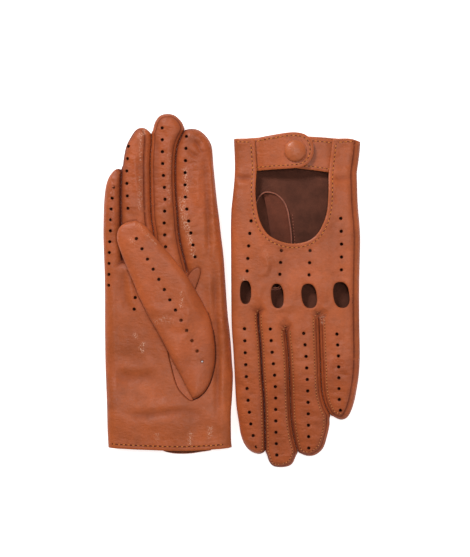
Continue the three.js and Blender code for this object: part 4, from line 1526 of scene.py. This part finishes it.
class Stitches:
    """Short threads laid on a surface, each end on a dark disc, painted shade standing in for the needle
    hole.
    """

    def __init__(self, name, side, length=2.0, gap=1.0, radius=0.3, material=THREAD, sunk=0.45, needle=0.36):
        self.name, self.side = name, side
        self.length, self.gap, self.radius = length, gap, radius
        self.material, self.sunk, self.needle = material, sunk, needle
        self.verts, self.faces, self.index = [], [], []

    def hit(self, surface, face, x, y):
        found, normal, _, _ = surface.ray_cast(Vector((x, y, face * RAY_START)), Vector((0, 0, -face)))
        if found is None:
            return None
        if normal.z * face < 0:
            normal = -normal
        return found, normal

    def row(self, surface, face, line):
        total = lengths(line)[-1]
        count = int(total / (self.length + self.gap))
        if count < 1:
            return
        half = 0.5 * self.length * (total / count) / (self.length + self.gap)
        for k in range(count):
            middle = total * (k + 0.5) / count
            both = points_at(line, [middle - half, middle + half])
            ends = [self.hit(surface, face, x, y) for x, y in both]
            if None not in ends:
                (a, normal_a), (b, normal_b) = ends
                self.one(a, b, (normal_a + normal_b).normalized())

    def one(self, a, b, normal):
        along_it = (b - a).normalized()
        across = normal.cross(along_it).normalized()
        up = along_it.cross(across).normalized()
        if up.dot(normal) < 0:
            up = -up
        start, sides = len(self.verts), 6
        for t, width, lift in THREAD_SHAPE:
            c = a + (b - a) * t + up * self.radius * (lift - self.sunk + 0.3)
            for x, y in circle(sides):
                self.verts.append(c + (across * x + up * y * 0.85) * self.radius * width)
        self.tube(start, sides, len(THREAD_SHAPE), 0)
        # a dark disc at each end: painted shade standing in for the needle hole
        for end, way in ((a, -1), (b, 1)):
            centre = end + along_it * (way * self.needle * 0.4)
            start, sides = len(self.verts), 7
            for lift in (-0.05, 0.035):
                for x, y in circle(sides):
                    self.verts.append(centre + (across * x + along_it * y) * self.needle + normal * lift)
            self.tube(start, sides, 2, 1)

    def tube(self, start, sides, rings, material):
        """Faces for rings of points already in place, closed at both ends."""
        for first in range(start, start + (rings - 1) * sides, sides):
            for k in range(sides):
                n = (k + 1) % sides
                self.faces.append((first + k, first + n, first + sides + n, first + sides + k))
        last = start + (rings - 1) * sides
        self.faces.append(tuple(start + k for k in reversed(range(sides))))
        self.faces.append(tuple(last + k for k in range(sides)))
        self.index += [material] * ((rings - 1) * sides + 2)

    def made(self):
        world = place(self.side, np.array([tuple(v) for v in self.verts]))
        faces = self.faces
        if self.side == "left":
            faces = [f[::-1] for f in faces]
        obj = mesh_object(self.name, world, faces, [self.material, NEEDLE_SHADE], self.index)
        obj.data.set_sharp_from_angle(angle=math.radians(50))
        return obj


def panel_stitches(glove):
    """Rows round the cut-out, along the cuff and on both straps."""
    side = glove.side
    back = glove.trees[BACK]
    rows = Stitches(f"{side}_edge_stitches", side)
    line = offset(along(CUT_OUT, 0.8), 2.7)
    rows.row(back, BACK, line[line[:, 1] > (4.0 if side == "left" else 1.5)])
    for ends in (((-38.6, 2.9), (-28.4, 3.6)), ((32.2, 3.4), (41.2, 3.2))):
        rows.row(back, BACK, spaced(ends, 12) + [0, 0 if side == "left" else -2.2])
    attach(rows.made(), f"{side}_glove")
    rows = Stitches(f"{side}_under_strap_stitches", side)
    line = offset(along(UNDER_TAB, 0.8), -STRAP_ROW)
    line = line[(line[:, 0] < 4) & (line[:, 0] > -24)]
    rows.row(glove.under_tree, BACK, line[line[:, 1] > 8])
    rows.row(glove.under_tree, BACK, line[line[:, 1] < 8])
    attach(rows.made(), f"{side}_glove")
    rows = Stitches(f"{side}_closing_strap_stitches", side)
    line = offset(tab_outline(side, 0.8), -STRAP_ROW)
    rows.row(glove.tab_tree, BACK, line[line[:, 0] < 28])
    open_strap(rows.made())


def seam_stitches(glove):
    """Fine rows beside the finger seams on the back."""
    side = glove.side
    width = glove.seams(BACK)
    seam_d = flat_distance(width)
    inward = offset(glove.rim, 1.0) - glove.rim
    for number, finger in enumerate(FINGERS):
        rows = Stitches(f"{side}_{finger}_stitches", side, 1.3, 0.8, 0.25, FINE, 0.35, 0.3)
        for part in ((0,) if finger == "little" else (0, 1)):
            pick = (glove.run == number) & (glove.part == part) & (width > 0.6)
            want = seam_d[pick] + 1.15
            points = glove.rim[pick] + inward[pick] * want[:, None]
            points = points[np.abs(glove.near(points)[0] - want) < 0.08]
            if len(points) > 6:
                rows.row(glove.trees[BACK], BACK, glove.roll(points))
        glove.bend(rows.made(), finger)


def other_stitches(glove):
    """The hem of the palm, the thumb's seam and its row inside the glove."""
    side = glove.side
    palm = glove.trees[PALM]
    hem = offset(along(CUFF[side, PALM], 0.8), 2.9)
    sewn = along(THUMB_RIGHT, 0.6)
    lining = tree(glove.inner, glove.tris[glove.face_of == PALM])
    for name, sizes, surface, face, line in (
        ("hem", (1.9, 1.3, 0.28, THREAD, 0.5, 0.5), palm, PALM, hem[np.abs(hem[:, 0]) < 38]),
        ("thumb", (1.2, 0.9, 0.2, DARK, 0.5, 0.34), palm, PALM, offset(sewn[sewn[:, 1] < 80], -0.55)),
        ("lining", (1.2, 0.9, 0.22, EDGE, 0.3, 0.26), lining, BACK, along(LINING_ROW, 0.8)),
    ):
        rows = Stitches(f"{side}_{name}_stitches", side, *sizes)
        rows.row(surface, face, line)
        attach(rows.made(), f"{side}_glove")
    if side == "right":
        punch_out(glove)


def punch_out(glove):
    """The ring of leather left hanging in the thumb's last hole."""
    x, y = THUMB_HOLES["right"][-1]
    hit = glove.thumb_tree.ray_cast(Vector((x + 1.6, y, RAY_START)), Vector((0, 0, -1)))[0]
    top = hit.z - 0.5
    verts = []
    for radius, z in ((0.5, top - 0.3), (1.3, top - 0.3), (1.3, top), (0.5, top)):
        verts += [(x + radius * across, y + radius * up, z) for across, up in circle(16)]
    obj = mesh_object("right_thumb_punched_ring", place("right", np.array(verts)), closed_tube(4, 16), [EDGE])
    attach(obj, "right_glove")


for glove_side in ("right", "left"):
    one = Glove(glove_side)
    one.build()
    thumb(one)
    gusset(one)
    seam_allowance(one)
    quirk(one)
    strap(one)
    panel_stitches(one)
    seam_stitches(one)
    other_stitches(one)


# ---------- studio ----------
VIEW_HEIGHT = 0.3788  # metres from the picture's bottom to its top, at the gloves
FLOOR = 9  # metres from the middle of the white floor to its sides
GLOVE_TOP = 0.014
PICTURE_CENTRE = (0.0024, 0.0078)


def studio():
    world = bpy.data.worlds.new("studio")
    bpy.context.scene.world = world
    world.use_nodes = True
    background = world.node_tree.nodes["Background"]
    background.inputs["Color"].default_value = (1, 1, 1, 1)
    background.inputs["Strength"].default_value = 0.30
    floor_mesh = bpy.data.meshes.new("floor")
    corners = [(x * FLOOR, y * FLOOR, 0) for x, y in ((-1, -1), (1, -1), (1, 1), (-1, 1))]
    floor_mesh.from_pydata(corners, [], [(0, 1, 2, 3)])
    white = Nodes("studio_white")
    white.set(Base_Color=(0.9, 0.9, 0.9, 1), Roughness=0.9, Specular_IOR_Level=0.1,
              Emission_Color=(1, 1, 1, 1), Emission_Strength=0.66)
    floor_mesh.materials.append(white.material)
    put("floor", floor_mesh)
    for name, place_at, size, power in (("key_light", (-0.45, 0.75, 0.8), 0.3, 8.4),
                                        ("fill_light", (0.7, -0.4, 0.8), 0.6, 1.5),
                                        ("top_light", (0.12, 0.2, 1.5), 0.22, 4.6)):
        light = bpy.data.lights.new(name, "AREA")
        light.shape = "DISK"
        light.size = size
        light.energy = power
        obj = put(name, light)
        obj.location = place_at
        obj.rotation_euler = (-Vector(place_at)).to_track_quat("-Z", "Y").to_euler()


def camera():
    data = bpy.data.cameras.new("camera")
    data.lens = 110
    obj = put("camera", data)
    height = VIEW_HEIGHT / 2 * data.lens / (data.sensor_width / 2) + GLOVE_TOP
    obj.location = (*PICTURE_CENTRE, height)
    bpy.context.scene.camera = obj


studio()
camera()
bpy.context.scene.view_settings.view_transform = "Standard"
